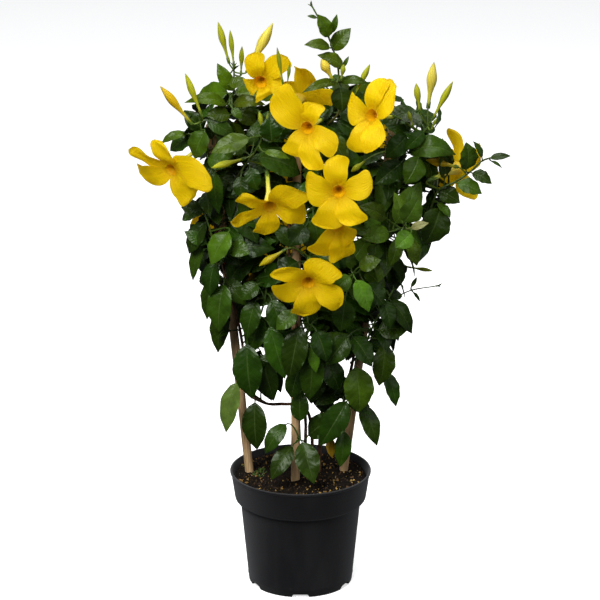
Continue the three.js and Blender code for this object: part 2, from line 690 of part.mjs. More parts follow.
// How far across a lobe its edge is, at share q along it, when it stays out of the next lobe's way
function lobeEdge(bloom, lobe, q, side, turnToNext) {
  const { reach, half, lean } = bloom.lobes[lobe];
  const root = THROAT_RADIUS - LOBE_ROOT;
  const swept = side * lean * reach * q * q;
  const room = (root + (reach - root) * q) * Math.tan(turnToNext * OWN_SIDE) - swept;
  return side * Math.min(1, room / (half * lobeShape(q)));
}

// Where blades, petals and stems already are, in cells of space
const CELL = 6;
const taken = new Map();
const cellOf = (place) => [place.x, place.y, place.z].map((n) => Math.floor(n / CELL));

function take(places, owner) {
  for (const place of places) {
    const key = cellOf(place).join();
    if (!taken.has(key)) taken.set(key, []);
    taken.get(key).push({ place, owner });
  }
}

function isClear(places, clearance, owner) {
  for (const place of places) {
    const [i, j, k] = cellOf(place);
    for (let step = 0; step < 27; step += 1) {
      const [a, b, c] = [step % 3, Math.floor(step / 3) % 3, Math.floor(step / 9)];
      const key = [i + a - 1, j + b - 1, k + c - 1].join();
      for (const other of taken.get(key) ?? []) {
        if (other.owner !== owner && other.place.distanceTo(place) < clearance) return false;
      }
    }
  }
  return true;
}

function clearOfCanes(places) {
  return places.every((place) => Object.values(CANES).every((cane) => (
    place.z > cane.head.z + CANE_CLEARANCE || caneAt(cane, place.z).distanceTo(place) > CANE_CLEARANCE)));
}

// Places spread over a blade, for keeping other things off it
function bladePlaces(blade) {
  const rows = Math.max(3, Math.round(blade.length / 6.5));
  const columns = Math.max(2, Math.round(blade.wide / 7));
  const places = [];
  for (let row = 0; row < rows; row += 1) {
    for (let column = 0; column <= columns; column += 1) {
      places.push(bladePlace(blade, (row + 0.6) / rows, (2 * column) / columns - 1));
    }
  }
  return places;
}

function petiolePlaces(blade) {
  const run = minus(blade.base, blade.root);
  const count = Math.max(1, Math.round(run.length() / 4));
  return Array.from({ length: count }, (_, i) => plus(blade.root, run, (i + 1) / (count + 1)));
}

function bloomPlaces(bloom) {
  const foot = plus(bloom.mouth, bloom.front, -bloom.tube);
  const places = Array.from({ length: 11 }, (_, step) => mix(bloom.mouth, foot, step / 10));
  for (let lobe = 0; lobe < LOBES; lobe += 1) {
    for (let row = 0; row <= 5; row += 1) {
      for (let column = -2; column <= 2; column += 1) {
        places.push(lobePlace(bloom, lobe, row / 5, column / 2));
      }
    }
  }
  return places;
}

// The way a leaf's upper side turns: up and out from the middle of the crown, and to the viewer in front
function leafFace(place) {
  const toViewer = place.y < 0 ? -0.75 : 0.35;
  return unit(vec(place.x / 260, toViewer, 0.6));
}

const vinePlaces = Object.fromEntries(Object.entries(VINES).map(([name, places]) => [
  name, placesAlong(curveThrough(places), places.length * 8)]));
Object.values(vinePlaces).forEach((places) => take(places, "vine"));

// A leafy stem starts inside its vine, which trims it, and bends round the cane if that is in its way
function stemLine({ vine, path, radius }) {
  const [first, second, ...rest] = path.map(seen);
  const root = nearestPlace(vinePlaces[vine], first);
  const cane = CANES[vine];
  const run = minus(second, root);
  const nearest = placesAlong(new THREE.LineCurve3(root, second), 12).reduce((best, place) => (
    caneAt(cane, place.z).distanceTo(place) < caneAt(cane, best.z).distanceTo(best) ? place : best));
  const axis = caneAt(cane, nearest.z);
  const berth = CANE_RADIUS + radius + STEM_BERTH;
  if (axis.distanceTo(nearest) >= berth) return [root, second, ...rest];
  const sideways = unit(cross(run, UP));
  const hand = minus(nearest, axis).dot(sideways) < 0 ? -1 : 1;
  return [root, plus(axis, sideways, hand * berth * 1.15), second, ...rest];
}

const stems = Object.entries(STEMS).map(([name, stem]) => {
  const line = stemLine(stem);
  const curve = curveThrough(line);
  const places = placesAlong(curve, line.length * 8);
  take(places.slice(2), name);
  const blooms = (stem.blooms ?? []).map(bloomFrame);
  blooms.forEach((bloom) => {
    bloom.stalkEnd = plus(bloom.mouth, bloom.front, -(bloom.tube + GAP + CALYX_LENGTH));
    bloom.root = nearestPlace(places.slice(4), bloom.stalkEnd);
    take(bloomPlaces(bloom), `bloom ${bloom.name}`);
    take(Array.from({ length: 8 }, (_, i) => mix(bloom.stalkEnd, bloom.root, i / 8)), name);
  });
  return { name, curve, line, places, radius: stem.radius, blooms, blades: [], buds: [], spec: stem };
});

// Depths to try for a leaf or bud whose place in the picture is known, the wanted one first
const DEPTH_TRIES = [0, -6, 6, -12, 12, -18, 18, -24, 24];
const KNOWN_CLEARANCE = 4.6;

function knownBlade(stem, leaf, nudge) {
  const base = seen([...leaf.base, leaf.y + nudge]);
  const tip = seen([...leaf.tip, leaf.y + leaf.out + nudge]);
  const root = nearestPlace(stem.places.slice(4), base);
  return makeBlade({ root, base, tip, wide: leaf.wide, rise: leaf.rise, face: leafFace(base) });
}

function addKnownLeaf(stem, leaf) {
  const fits = (blade) => isClear(bladePlaces(blade), KNOWN_CLEARANCE, stem.name)
    && isClear(petiolePlaces(blade), PETIOLE_CLEARANCE, stem.name) && clearOfCanes(bladePlaces(blade));
  const tries = DEPTH_TRIES.map((nudge) => knownBlade(stem, leaf, nudge));
  const blade = tries.find(fits) ?? tries[0];
  take(bladePlaces(blade), `${stem.name} leaf`);
  take(petiolePlaces(blade), stem.name);
  stem.blades.push(blade);
}

function addKnownBud(stem, bud) {
  const budAt = (nudge) => {
    const base = seen([...bud.base, bud.y + nudge]);
    const tip = seen([...bud.tip, bud.y + nudge]);
    return { root: nearestPlace(stem.places.slice(4), base), base, tip, wide: bud.wide };
  };
  const body = ({ base, tip }) => Array.from({ length: 8 }, (_, i) => mix(base, tip, i / 7));
  const stalk = ({ root, base }) => Array.from({ length: 5 }, (_, i) => mix(root, base, (i + 1) / 5));
  const fits = (placed) => isClear(body(placed), KNOWN_CLEARANCE + bud.wide / 2 - 2, stem.name)
    && isClear(stalk(placed), PETIOLE_CLEARANCE, stem.name);
  const tries = DEPTH_TRIES.map(budAt);
  const placed = tries.find(fits) ?? tries[0];
  take(body(placed), `${stem.name} bud`);
  take(stalk(placed), stem.name);
  stem.buds.push(placed);
}

function addKnownGrowth(stem) {
  (stem.spec.leaves ?? []).forEach((leaf) => addKnownLeaf(stem, leaf));
  (stem.spec.buds ?? []).forEach((bud) => addKnownBud(stem, bud));
}
stems.forEach(addKnownGrowth);

// Ways to turn, droop and shrink a leaf that has no room where it would grow first
const LEAF_TRIES = [1, 0.78].flatMap((size) => [
  { turn: 0, droop: 0.5, size },
  { turn: 28, droop: 0.8, size },
  { turn: -28, droop: 0.8, size },
  { turn: 56, droop: 0.3, size },
  { turn: -56, droop: 0.3, size },
  { turn: 0, droop: 1.5, size },
  { turn: 85, droop: 1.1, size },
  { turn: -85, droop: 1.1, size },
  { turn: 0, droop: -0.3, size },
]);

// Whether a place would stand in front of a bloom for the viewer
function hidesBloom(place) {
  return stems.some(({ blooms }) => blooms.some(({ mouth, reach }) => {
    const high = (place.z - mouth.z) * Math.cos(EYE_PITCH) + (place.y - mouth.y) * Math.sin(EYE_PITCH);
    return mouth.y < 0 && place.y < mouth.y + reach && Math.hypot(place.x - mouth.x, high) < reach * 0.8;
  }));
}

// The leaf pairs that a stem grows by rule: opposite pairs, each turned a quarter from the last
function addRuleLeaves(stem, number) {
  const draw = draws(401 + number * 77);
  const [from, to] = stem.spec.fill ?? [0.3, 0.95];
  const length = stem.curve.getLength() * (to - from);
  const pairs = Math.max(1, Math.round(length / LEAF_SPACING));
  const firstTurn = draw() * 360;
  for (let pair = 0; pair <= pairs; pair += 1) {
    const share = from + ((to - from) * pair) / pairs;
    const root = stem.curve.getPoint(share);
    const along = unit(stem.curve.getTangent(share));
    const flat = unit(cross(along, Math.abs(along.x) < 0.8 ? vec(1, 0, 0) : vec(0, 1, 0)));
    const high = cross(flat, along);
    for (const side of [0, 180]) {
      const size = RULE_LEAF_LENGTH.least + draw() * RULE_LEAF_LENGTH.spread;
      const slim = RULE_LEAF_SLIMNESS.least + draw() * RULE_LEAF_SLIMNESS.spread;
      const rise = 0.06 + draw() * 0.1;
      for (const attempt of LEAF_TRIES) {
        const turn = THREE.MathUtils.degToRad(firstTurn + pair * 90 + side + attempt.turn);
        const out = plus(flat.clone().multiplyScalar(Math.cos(turn)), high, Math.sin(turn));
        const base = plus(root, unit(plus(out, along, 0.5)), PETIOLE_LENGTH);
        const way = unit(plus(plus(out, along, 0.4), DOWN, attempt.droop));
        const tip = plus(base, way, size * attempt.size);
        if (!inCrown(tip) || !inCrown(mix(base, tip, 0.5))) continue;
        const face = Math.abs(leafFace(base).dot(way)) > 0.9 ? UP : leafFace(base);
        const blade = makeBlade({ root, base, tip, wide: size * attempt.size * slim, rise, face });
        const spread = bladePlaces(blade);
        if (spread.some(hidesBloom) || !clearOfCanes(spread)) continue;
        if (!isClear(spread, LEAF_CLEARANCE, null)) continue;
        if (!isClear(petiolePlaces(blade), PETIOLE_CLEARANCE, stem.name)) continue;
        take(spread, `${stem.name} leaf`);
        take(petiolePlaces(blade), stem.name);
        stem.blades.push(blade);
        break;
      }
    }
  }
}
stems.forEach(addRuleLeaves);

function meshOf(places, index) {
  const geometry = new THREE.BufferGeometry();
  const positions = places.flatMap((place) => place.toArray());
  geometry.setAttribute("position", new THREE.Float32BufferAttribute(positions, 3));
  geometry.setIndex(index);
  return geometry;
}

// A closed solid over rings of places. The back half of each ring splits its faces the other way,
// so that a blade's two faces are split alike.
function loft(rings) {
  const index = [];
  const starts = rings.map((_, i) => rings.slice(0, i).reduce((sum, ring) => sum + ring.length, 0));
  const fan = (start, count) => {
    for (let i = 1; i < count - 1; i += 1) index.push(start, start + i + 1, start + i);
  };
  fan(starts[0], rings[0].length);
  for (let r = 0; r < rings.length - 1; r += 1) {
    const count = Math.max(rings[r].length, rings[r + 1].length);
    for (let i = 0; i < count; i += 1) {
      const next = (i + 1) % count;
      const [a, b] = rings[r].length > 1 ? [starts[r] + i, starts[r] + next] : [starts[r], starts[r]];
      const [d, c] = rings[r + 1].length > 1 ? [starts[r + 1] + i, starts[r + 1] + next]
        : [starts[r + 1], starts[r + 1]];
      if (a === b) index.push(a, c, d);
      else if (c === d) index.push(a, b, c);
      else if (i < count / 2) index.push(a, b, c, a, c, d);
      else index.push(a, b, d, b, c, d);
    }
  }
  const last = rings.length - 1;
  for (let i = 1; i < rings[last].length - 1; i += 1) {
    index.push(starts[last], starts[last] + i, starts[last] + i + 1);
  }
  return meshOf(rings.flat(), index);
}

function signedVolume({ vertProperties, triVerts }) {
  const corner = (i) => vec(...vertProperties.subarray(triVerts[i] * 3, triVerts[i] * 3 + 3));
  let sum = 0;
  for (let i = 0; i < triVerts.length; i += 3) sum += corner(i).dot(cross(corner(i + 1), corner(i + 2)));
  return sum;
}

function solidOf(geometry) {
  const bare = geometry.clone();
  bare.deleteAttribute("normal");
  bare.deleteAttribute("uv");
  const merged = mergeVertices(bare, 1e-4);
  const mesh = {
    numProp: 3,
    vertProperties: Float32Array.from(merged.attributes.position.array),
    triVerts: Uint32Array.from(merged.index.array),
  };
  if (signedVolume(mesh) < 0) mesh.triVerts.reverse();
  return new wasm.Manifold(new wasm.Mesh(mesh));
}

function geometryOf(solid) {
  const { vertProperties, triVerts } = solid.getMesh();
  const geometry = new THREE.BufferGeometry();
  geometry.setAttribute("position", new THREE.BufferAttribute(Float32Array.from(vertProperties), 3));
  geometry.setIndex(new THREE.BufferAttribute(Uint32Array.from(triVerts), 1));
  geometry.computeVertexNormals();
  return geometry;
}

// All solids joined, less any loose scrap and any hollow that the joining sealed
function fused(solids) {
  const joined = solids.reduce((sum, solid) => sum.add(solid));
  return joined.decompose().reduce((best, body) => (body.volume() > best.volume() ? body : best));
}

// Rings round a line, each turned as little as possible from the one before
function ringsAlong(places, radiusAt, sides) {
  let normal = vec(0.31, 0.87, 0.38);
  return places.map((place, i) => {
    const before = places[Math.max(0, i - 1)];
    const after = places[Math.min(places.length - 1, i + 1)];
    const along = unit(minus(after, before));
    normal = unit(plus(normal, along, -normal.dot(along)));
    const binormal = cross(along, normal);
    return Array.from({ length: sides }, (_, side) => {
      const angle = (side / sides) * FULL_TURN;
      const out = plus(normal.clone().multiplyScalar(Math.cos(angle)), binormal, Math.sin(angle));
      return plus(place, out, radiusAt(i / (places.length - 1)));
    });
  });
}

function rod(places, radiusAt, sides) {
  return solidOf(loft(ringsAlong(places, radiusAt, sides)));
}

function leafSolid(blade) {
  const way = unit(minus(blade.base, blade.root));
  const first = bladeFrame(blade, 0);
  const section = (place, along) => {
    const side = unit(plus(blade.side, along, -blade.side.dot(along)));
    const normal = cross(side, along);
    const corners = [[-1, 0.5], [1, 0.5], [0, -1]];
    return corners.map(([s, n]) => plus(plus(place, side, s * PETIOLE_RADIUS), normal, n * PETIOLE_RADIUS));
  };
  const stations = blade.length > LONG_LEAF ? LONG_LEAF_STATIONS : SHORT_LEAF_STATIONS;
  const rings = stations.map((t) => {
    const { normal } = bladeFrame(blade, t);
    const rib = plus(bladePlace(blade, t, 0), normal, -LEAF_THICKNESS);
    return [bladePlace(blade, t, -1), bladePlace(blade, t, 1), rib];
  });
  return solidOf(loft([
    section(blade.root, way),
    section(blade.base, unit(plus(way, first.along))),
    ...rings,
    [blade.tip],
  ]));
}

const BUD_SIDES = 4;
const BUD_RINGS = [
  { share: 0, radius: 0.26 },
  { share: 0.6, radius: 0.5 },
];

function budSolid(bud) {
  const run = minus(bud.tip, bud.base);
  const places = [...BUD_RINGS.map(({ share }) => plus(bud.base, run, share)), bud.tip];
  const rings = ringsAlong(places, () => 1, BUD_SIDES).slice(0, -1);
  const sized = rings.map((ring, i) => ring.map((place) => (
    plus(places[i], minus(place, places[i]), BUD_RINGS[i].radius * bud.wide))));
  return solidOf(loft([...sized, [bud.tip]]));
}

function stalkSolid(root, end, radius) {
  return rod([root, end], () => radius, 3);
}

// The green cup under a bloom, and its stalk from the leafy stem
function calyxSolids(bloom) {
  const foot = plus(bloom.stalkEnd, bloom.front, CALYX_LENGTH);
  const cup = rod([bloom.stalkEnd, foot], (t) => STALK_RADIUS + (CALYX_RADIUS - STALK_RADIUS) * t, 5);
  return [cup, stalkSolid(bloom.root, plus(bloom.stalkEnd, bloom.front, 1), STALK_RADIUS)];
}

function budSolids(bud) {
  return [budSolid(bud), stalkSolid(bud.root, mix(bud.base, bud.tip, 0.05), BUD_STALK_RADIUS)];
}

// A leafy stem with its leaves, buds and bloom cups, cut clear of the woody stem that it grows from
function stemSolid(stem) {
  const places = placesAlong(stem.curve, Math.max(4, Math.round(stem.curve.getLength() / STEM_STEP)));
  const rooted = (growth) => ({ ...growth, root: nearestOn(places, growth.root) });
  const growth = fused([
    rod(places, (t) => stem.radius * (1.15 - 0.35 * t), 3),
    ...stem.blades.map(rooted).map(leafSolid),
    ...stem.buds.map(rooted).flatMap(budSolids),
    ...stem.blooms.map(rooted).flatMap(calyxSolids),
  ]);
  return fused([growth.subtract(vineSolid(VINES[stem.spec.vine], GAP))]);
}

// The place at an angle and radius round a bloom's axis, some way behind its mouth
function roundBloom(bloom, angle, radius, behind) {
  const out = plus(bloom.up.clone().multiplyScalar(Math.cos(angle)), bloom.right, Math.sin(angle));
  return plus(plus(bloom.mouth, bloom.front, -behind), out, radius);
}

// A bloom: a narrow tube that opens into a funnel, whose mouth runs out into lobes set like a pinwheel.
// The mouth has two corners to a lobe, one at its middle and one where it meets the next lobe.
function bloomSolid(bloom) {
  const places = [];
  const index = [];
  const add = (place) => places.push(place) - 1;
  const face = (...corners) => {
    for (let i = 1; i < corners.length - 1; i += 1) index.push(corners[0], corners[i], corners[i + 1]);
  };
  const middles = bloom.lobes.map(({ angle }) => angle);
  const turns = middles.map((angle, i) => (middles[i + 1] ?? middles[0] + FULL_TURN) - angle);
  const corners = middles.flatMap((angle, i) => [angle, angle + turns[i] / 2]);
  const ring = (angles, radius, behind) => angles.map((angle) => (
    add(roundBloom(bloom, angle, radius, behind))));
  const front = ring(corners, THROAT_RADIUS, 0);
  const back = ring(corners, THROAT_RADIUS, LOBE_THICKNESS);
  const waist = ring(middles, TUBE_WAIST_RADIUS, bloom.tube * 0.5);
  const foot = ring(middles, TUBE_RADIUS, bloom.tube);
  const deep = add(plus(bloom.mouth, bloom.front, -Math.min(THROAT_DEPTH, bloom.tube * 0.4)));
  for (let lobe = 0; lobe < LOBES; lobe += 1) {
    const next = (lobe + 1) % LOBES;
    const [low, mid, high] = [(lobe * 2 + LOBES * 2 - 1) % (LOBES * 2), lobe * 2, lobe * 2 + 1];
    const edge = (q, v) => add(lobePlace(bloom, lobe, q, v));
    let upper = [front[low], front[mid], front[high]];
    let under = [back[low], back[mid], back[high]];
    for (const q of LOBE_STATIONS) {
      const left = edge(q, lobeEdge(bloom, lobe, q, -1, turns[(lobe + LOBES - 1) % LOBES]));
      const middle = edge(q, 0);
      const right = edge(q, lobeEdge(bloom, lobe, q, 1, turns[lobe]));
      const rib = add(plus(lobePlace(bloom, lobe, q, 0), bloom.front, -LOBE_THICKNESS));
      face(upper[0], upper[1], middle, left);
      face(upper[1], upper[2], right, middle);
      face(under[0], left, rib, under[1]);
      face(under[1], rib, right, under[2]);
      if (upper[0] !== under[0]) {
        face(upper[0], left, under[0]);
        face(upper[2], under[2], right);
      }
      upper = [left, middle, right];
      under = [left, rib, right];
    }
    const tip = edge(1, 0);
    face(upper[0], upper[1], tip);
    face(upper[1], upper[2], tip);
    face(under[0], tip, under[1]);
    face(under[1], tip, under[2]);
    face(front[mid], front[low], deep);
    face(front[high], front[mid], deep);
    face(back[low], back[mid], waist[lobe]);
    face(back[mid], back[high], waist[lobe]);
    face(back[high], waist[next], waist[lobe]);
    face(waist[lobe], waist[next], foot[next], foot[lobe]);
  }
  face(...foot);
  return solidOf(meshOf(places, index));
}

const BAND_FOOT = POT_HEIGHT - BAND_HEIGHT;
const POT_SIDES = 28;
const FOOT_BEVEL = 1;
const LIP = { reach: 1.2, height: 3, wall: 2.9 };

const radiusOfWall = (height) => FOOT_RADIUS + ((SHOULDER_RADIUS - FOOT_RADIUS) * height) / BAND_FOOT;

function lathe(profile, segments) {
  const line = profile.map(([radius, height]) => new THREE.Vector2(radius, height));
  return solidOf(new THREE.LatheGeometry(line, segments).rotateX(Math.PI / 2));
}

// A tapered pot with a wider band round its top, arches in its foot and holes in its floor
function potSolid() {
  const shell = lathe([
    [0, 0],
    [FOOT_RADIUS - FOOT_BEVEL, 0],
    [FOOT_RADIUS, FOOT_BEVEL],
    [radiusOfWall(BAND_FOOT - 2), BAND_FOOT - 2],
    [BAND_FOOT_RADIUS, BAND_FOOT + 1.5],
    [RIM_RADIUS - LIP.reach, POT_HEIGHT - LIP.height],
    [RIM_RADIUS, POT_HEIGHT - LIP.height + 1],
    [RIM_RADIUS, POT_HEIGHT],
    [RIM_RADIUS - LIP.wall, POT_HEIGHT],
    [BAND_FOOT_RADIUS - WALL, BAND_FOOT + 3],
    [SHOULDER_RADIUS - WALL, BAND_FOOT],
    [radiusOfWall(FLOOR) - WALL, FLOOR],
    [0, FLOOR],
  ], POT_SIDES);
  return [...footNotches(), ...drainHoles()].reduce((pot, cut) => pot.subtract(cut), shell);
}

const NOTCHES = 6;
const NOTCH_WIDTH = 22;
const NOTCH_HEIGHT = 5.5;
const NOTCH_DEPTH = 9;

// Arched openings in the foot, the first one at the front
function footNotches() {
  return Array.from({ length: NOTCHES }, (_, i) => {
    const arch = new THREE.Shape();
    arch.moveTo(-NOTCH_WIDTH / 2, -1);
    arch.lineTo(NOTCH_WIDTH / 2, -1);
    arch.lineTo(NOTCH_WIDTH / 2 - 4, NOTCH_HEIGHT * 0.75);
    arch.quadraticCurveTo(0, NOTCH_HEIGHT * 1.25, -NOTCH_WIDTH / 2 + 4, NOTCH_HEIGHT * 0.75);
    const depth = NOTCH_DEPTH + 4;
    const block = new THREE.ExtrudeGeometry(arch, { depth, bevelEnabled: false, curveSegments: 3 });
    block.rotateX(Math.PI / 2).translate(0, -(FOOT_RADIUS - NOTCH_DEPTH), 0);
    return solidOf(block.rotateZ((i / NOTCHES) * FULL_TURN));
  });
}

const DRAIN_HOLES = 4;
const DRAIN_RADIUS = 5;
const DRAIN_CIRCLE = 34;

function drainHoles() {
  return Array.from({ length: DRAIN_HOLES }, (_, i) => {
    const hole = new THREE.CylinderGeometry(DRAIN_RADIUS, DRAIN_RADIUS, FLOOR * 4, 8).rotateX(Math.PI / 2);
    return solidOf(hole.translate(DRAIN_CIRCLE, 0, 0).rotateZ(((i + 0.5) / DRAIN_HOLES) * FULL_TURN));
  });
}

const SOIL_SEED = 97;
const SOIL_SIDES = 20;
const SOIL_INSET = WALL + GAP + 0.5;
const SOIL_TOP_RADIUS = RIM_RADIUS - SOIL_INSET - 3.4;

// The soil fills the pot, with a rough top and a hole for each cane and woody stem
function soilSolid(holes) {
  const draw = draws(SOIL_SEED);
  const ring = (radius, height, rough) => Array.from({ length: SOIL_SIDES }, (_, i) => {
    const angle = (i / SOIL_SIDES) * FULL_TURN;
    return vec(radius * Math.cos(angle), radius * Math.sin(angle), height + (draw() - 0.5) * 2 * rough);
  });
  const body = solidOf(loft([
    [vec(0, 0, FLOOR + GAP)],
    ring(radiusOfWall(FLOOR) - SOIL_INSET, FLOOR + GAP, 0),
    ring(SHOULDER_RADIUS - SOIL_INSET - 0.4, BAND_FOOT, 0),
    ring(BAND_FOOT_RADIUS - SOIL_INSET - 0.6, BAND_FOOT + 4.5, 0),
    ring(SOIL_TOP_RADIUS, SOIL_TOP - 2, SOIL_ROUGHNESS * 0.5),
    ring(SOIL_TOP_RADIUS * 0.72, SOIL_TOP, SOIL_ROUGHNESS),
    ring(SOIL_TOP_RADIUS * 0.36, SOIL_TOP + 1, SOIL_ROUGHNESS),
    [vec(0, 0, SOIL_TOP + 1)],
  ]));
  return holes.reduce((soil, hole) => soil.subtract(hole), body);
}

function caneSolid(cane, extra = 0) {
  const foot = plus(caneAt(cane, CANE_FOOT), vec(0, 0, -extra));
  return rod([foot, cane.head], () => CANE_RADIUS + extra, 8);
}

function vineSolid(places, extra = 0) {
  const line = placesAlong(curveThrough(places), Math.round(places.length * 1.6));
  return rod(line, (t) => extra + VINE_RADIUS + (VINE_TIP_RADIUS - VINE_RADIUS) * t, 5);
}

// The hole that a woody stem stands in, which follows the stem's own first stretch
function vineHole(places) {
  const [foot, neck] = places;
  return rod([plus(foot, UP, -GAP), plus(neck, UP, 4)], () => VINE_RADIUS + GAP * 1.6, 5);
}

function plain(color, roughness) {
  return new THREE.MeshStandardMaterial({ color, roughness, metalness: 0 });
}

const group = new THREE.Group();

function addNode(name, solid, material) {
  const mesh = new THREE.Mesh(geometryOf(solid), material);
  mesh.name = name;
  group.add(mesh);
}

const POT_PLASTIC = plain(0x1c1c1e, 0.42);
const PEAT = plain(0x2a1b12, 0.95);
const CANE_WOOD = plain(0xb98a5c, 0.7);
const BARK = plain(0x6b3f2a, 0.75);
const FOLIAGE = plain(0x24541f, 0.4);
const PETAL = plain(0xf5ca12, 0.5);

addNode("pot", potSolid(), POT_PLASTIC);
addNode("soil", soilSolid([
  ...Object.values(CANES).map((cane) => caneSolid(cane, GAP)),
  ...Object.values(VINES).map(vineHole),
]), PEAT);
Object.entries(CANES).forEach(([name, cane]) => addNode(`cane_${name}`, caneSolid(cane), CANE_WOOD));
Object.entries(VINES).forEach(([name, places]) => addNode(`vine_${name}`, vineSolid(places), BARK));
for (const stem of stems) {
  addNode(`leafy_stem_${stem.name}`, stemSolid(stem), FOLIAGE);
  stem.blooms.forEach((bloom) => addNode(`bloom_${bloom.name}`, bloomSolid(bloom), PETAL));
}

export default group;
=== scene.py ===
# A yellow mandevilla on three wooden canes in a black nursery pot: its looks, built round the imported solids.
# The plan of the plant is worked out in millimetres, with the same rules as the solids, and every fine piece
# follows it. Meshes are made in metres.
from itertools import product
from math import atan, atan2, copysign, cos, floor, hypot, pi, radians, sin, sqrt
from types import SimpleNamespace as Record

import bpy
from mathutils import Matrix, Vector, noise


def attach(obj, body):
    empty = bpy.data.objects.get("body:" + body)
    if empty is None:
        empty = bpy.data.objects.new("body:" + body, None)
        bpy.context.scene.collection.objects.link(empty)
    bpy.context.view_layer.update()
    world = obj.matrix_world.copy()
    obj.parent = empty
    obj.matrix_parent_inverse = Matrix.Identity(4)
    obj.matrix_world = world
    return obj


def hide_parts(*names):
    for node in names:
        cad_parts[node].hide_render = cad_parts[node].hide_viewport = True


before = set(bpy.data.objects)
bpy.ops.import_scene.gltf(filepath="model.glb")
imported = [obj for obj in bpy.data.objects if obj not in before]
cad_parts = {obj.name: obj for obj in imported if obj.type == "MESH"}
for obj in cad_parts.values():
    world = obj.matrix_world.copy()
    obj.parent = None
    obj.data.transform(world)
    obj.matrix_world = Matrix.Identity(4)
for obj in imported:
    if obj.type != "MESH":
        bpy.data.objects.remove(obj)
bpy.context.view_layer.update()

# Pot and soil
RIM_RADIUS = 85
POT_HEIGHT = 141.5
FOOT_RADIUS = 62.7
BAND_FOOT_RADIUS = 79
SHOULDER_RADIUS = 72.8
BAND_HEIGHT = 36
WALL = 1.9
SOIL_TOP = 134

# Canes and stems
CANE_RADIUS = 5.4
CANE_FOOT = 24
VINE_RADIUS = 2.1
VINE_TIP_RADIUS = 1.4
VINE_FOOT = 92
VINE_COLLAR = SOIL_TOP + 6
TWINE_GAP = 1.2
STEM_BERTH = 2.4
PETIOLE_RADIUS = 0.9
STALK_RADIUS = 1.1
BUD_STALK_RADIUS = 0.88
GAP = 0.35

# Leaves
LEAF_FOLD = 0.1
KNOWN_CLEARANCE = 4.6
PETIOLE_CLEARANCE = 3.2
CANE_CLEARANCE = 9
BLADE_STEP = 6.5
BLADE_COLUMN = 7
PETIOLE_STEP = 4

# Blooms and buds
THROAT_RADIUS = 10.5
BLOOM_TUBE = 60
LOBES = 5
LOBE_ROOT = THROAT_RADIUS - 1.6
LOBE_HALF_WIDTH = 0.385
LOBE_SWEEP = 0.2
LOBE_RISE = 0.14
LOBE_DROOP = 0.2
LOBE_TWIST = 0.16
CALYX_LENGTH = 9
CALYX_RADIUS = 2.9
TUBE_RADIUS = 2.2

# How the plant is seen from the front: places on it are named by the picture's columns and rows
EYE_DISTANCE = 3000
EYE_HEIGHT = 1316
EYE_PITCH = radians(17.76)
EYE_FOCAL = 2666
EYE = (0, -EYE_DISTANCE, EYE_HEIGHT)
EYE_AHEAD = (0, cos(EYE_PITCH), -sin(EYE_PITCH))
EYE_UP = (0, sin(EYE_PITCH), cos(EYE_PITCH))
PICTURE_SIZE = 600
PICTURE_MIDDLE = (300.5, 300)

RIGHT = (1, 0, 0)
BACK = (0, 1, 0)
UP = (0.0, 0.0, 1.0)
DOWN = (0.0, 0.0, -1.0)
FULL_TURN = pi * 2
MM = 0.001


def plus(a, b, amount=1.0):
    return (a[0] + b[0] * amount, a[1] + b[1] * amount, a[2] + b[2] * amount)


def minus(a, b):
    return (a[0] - b[0], a[1] - b[1], a[2] - b[2])


def times(a, amount):
    return (a[0] * amount, a[1] * amount, a[2] * amount)


def dot(a, b):
    return a[0] * b[0] + a[1] * b[1] + a[2] * b[2]


def cross(a, b):
    return (a[1] * b[2] - a[2] * b[1], a[2] * b[0] - a[0] * b[2], a[0] * b[1] - a[1] * b[0])


def size_of(a):
    return sqrt(dot(a, a))


def unit(a):
    return times(a, 1 / (size_of(a) or 1))


def mix(a, b, t):
    return plus(a, minus(b, a), t)


def distance(a, b):
    return size_of(minus(a, b))


def arc_place(a, b, c, t):
    """The place at share t of an arc from a to c that bends towards b."""
    return mix(mix(a, b, t), mix(b, c, t), t)


def turned(one, other, angle):
    """The direction at an angle from one direction towards another that is square to it."""
    return plus(times(one, cos(angle)), other, sin(angle))


def whole(number):
    return floor(number + 0.5)


def shares(count):
    return [i / count for i in range(count + 1)]


def angles(count, start=0.0):
    return [start + FULL_TURN * k / count for k in range(count)]


def smoothly(t):
    t = min(max(t, 0), 1)
    return t * t * (3 - 2 * t)


def draws(seed):
    """A repeatable row of numbers from 0 to 1."""
    state = [seed % 2**32]

    def draw():
        state[0] = (state[0] * 1664525 + 1013904223) % 2**32
        return state[0] / 4294967296

    return draw


def seen(column, row, y):
    """The point at depth y that shows at a column and row of the picture."""
    ray = plus(EYE_AHEAD, EYE_UP, (PICTURE_MIDDLE[1] - row) / EYE_FOCAL)
    ray = plus(ray, RIGHT, (column - PICTURE_MIDDLE[0]) / EYE_FOCAL)
    return plus(EYE, ray, (y + EYE_DISTANCE) / ray[1])


def picture_place(place):
    """The column and row of the picture at which a place shows."""
    away = minus(place, EYE)
    depth = dot(away, EYE_AHEAD)
    column = PICTURE_MIDDLE[0] + away[0] / depth * EYE_FOCAL
    return column, PICTURE_MIDDLE[1] - dot(away, EYE_UP) / depth * EYE_FOCAL


CANES = {
    "left": (seen(249.7, 473, 9), seen(210.4, 124, 15)),
    "middle": (seen(295.4, 480, -19), seen(297, 136, -9)),
    "right": (seen(343.5, 470, 15), seen(393, 125, 18)),
}


def cane_at(cane, height):
    foot, head = cane
    run = minus(head, foot)
    return plus(foot, run, (height - foot[2]) / run[2])


def twine(cane, low, high, start, sweep, steps):
    """The places of a stem that winds round a cane."""
    places = []
    for share in shares(steps):
        angle = radians(start + sweep * share)
        axis = cane_at(cane, low + (high - low) * share)
        places.append(plus(axis, (cos(angle), sin(angle), 0), CANE_RADIUS + VINE_RADIUS + TWINE_GAP))
    return places


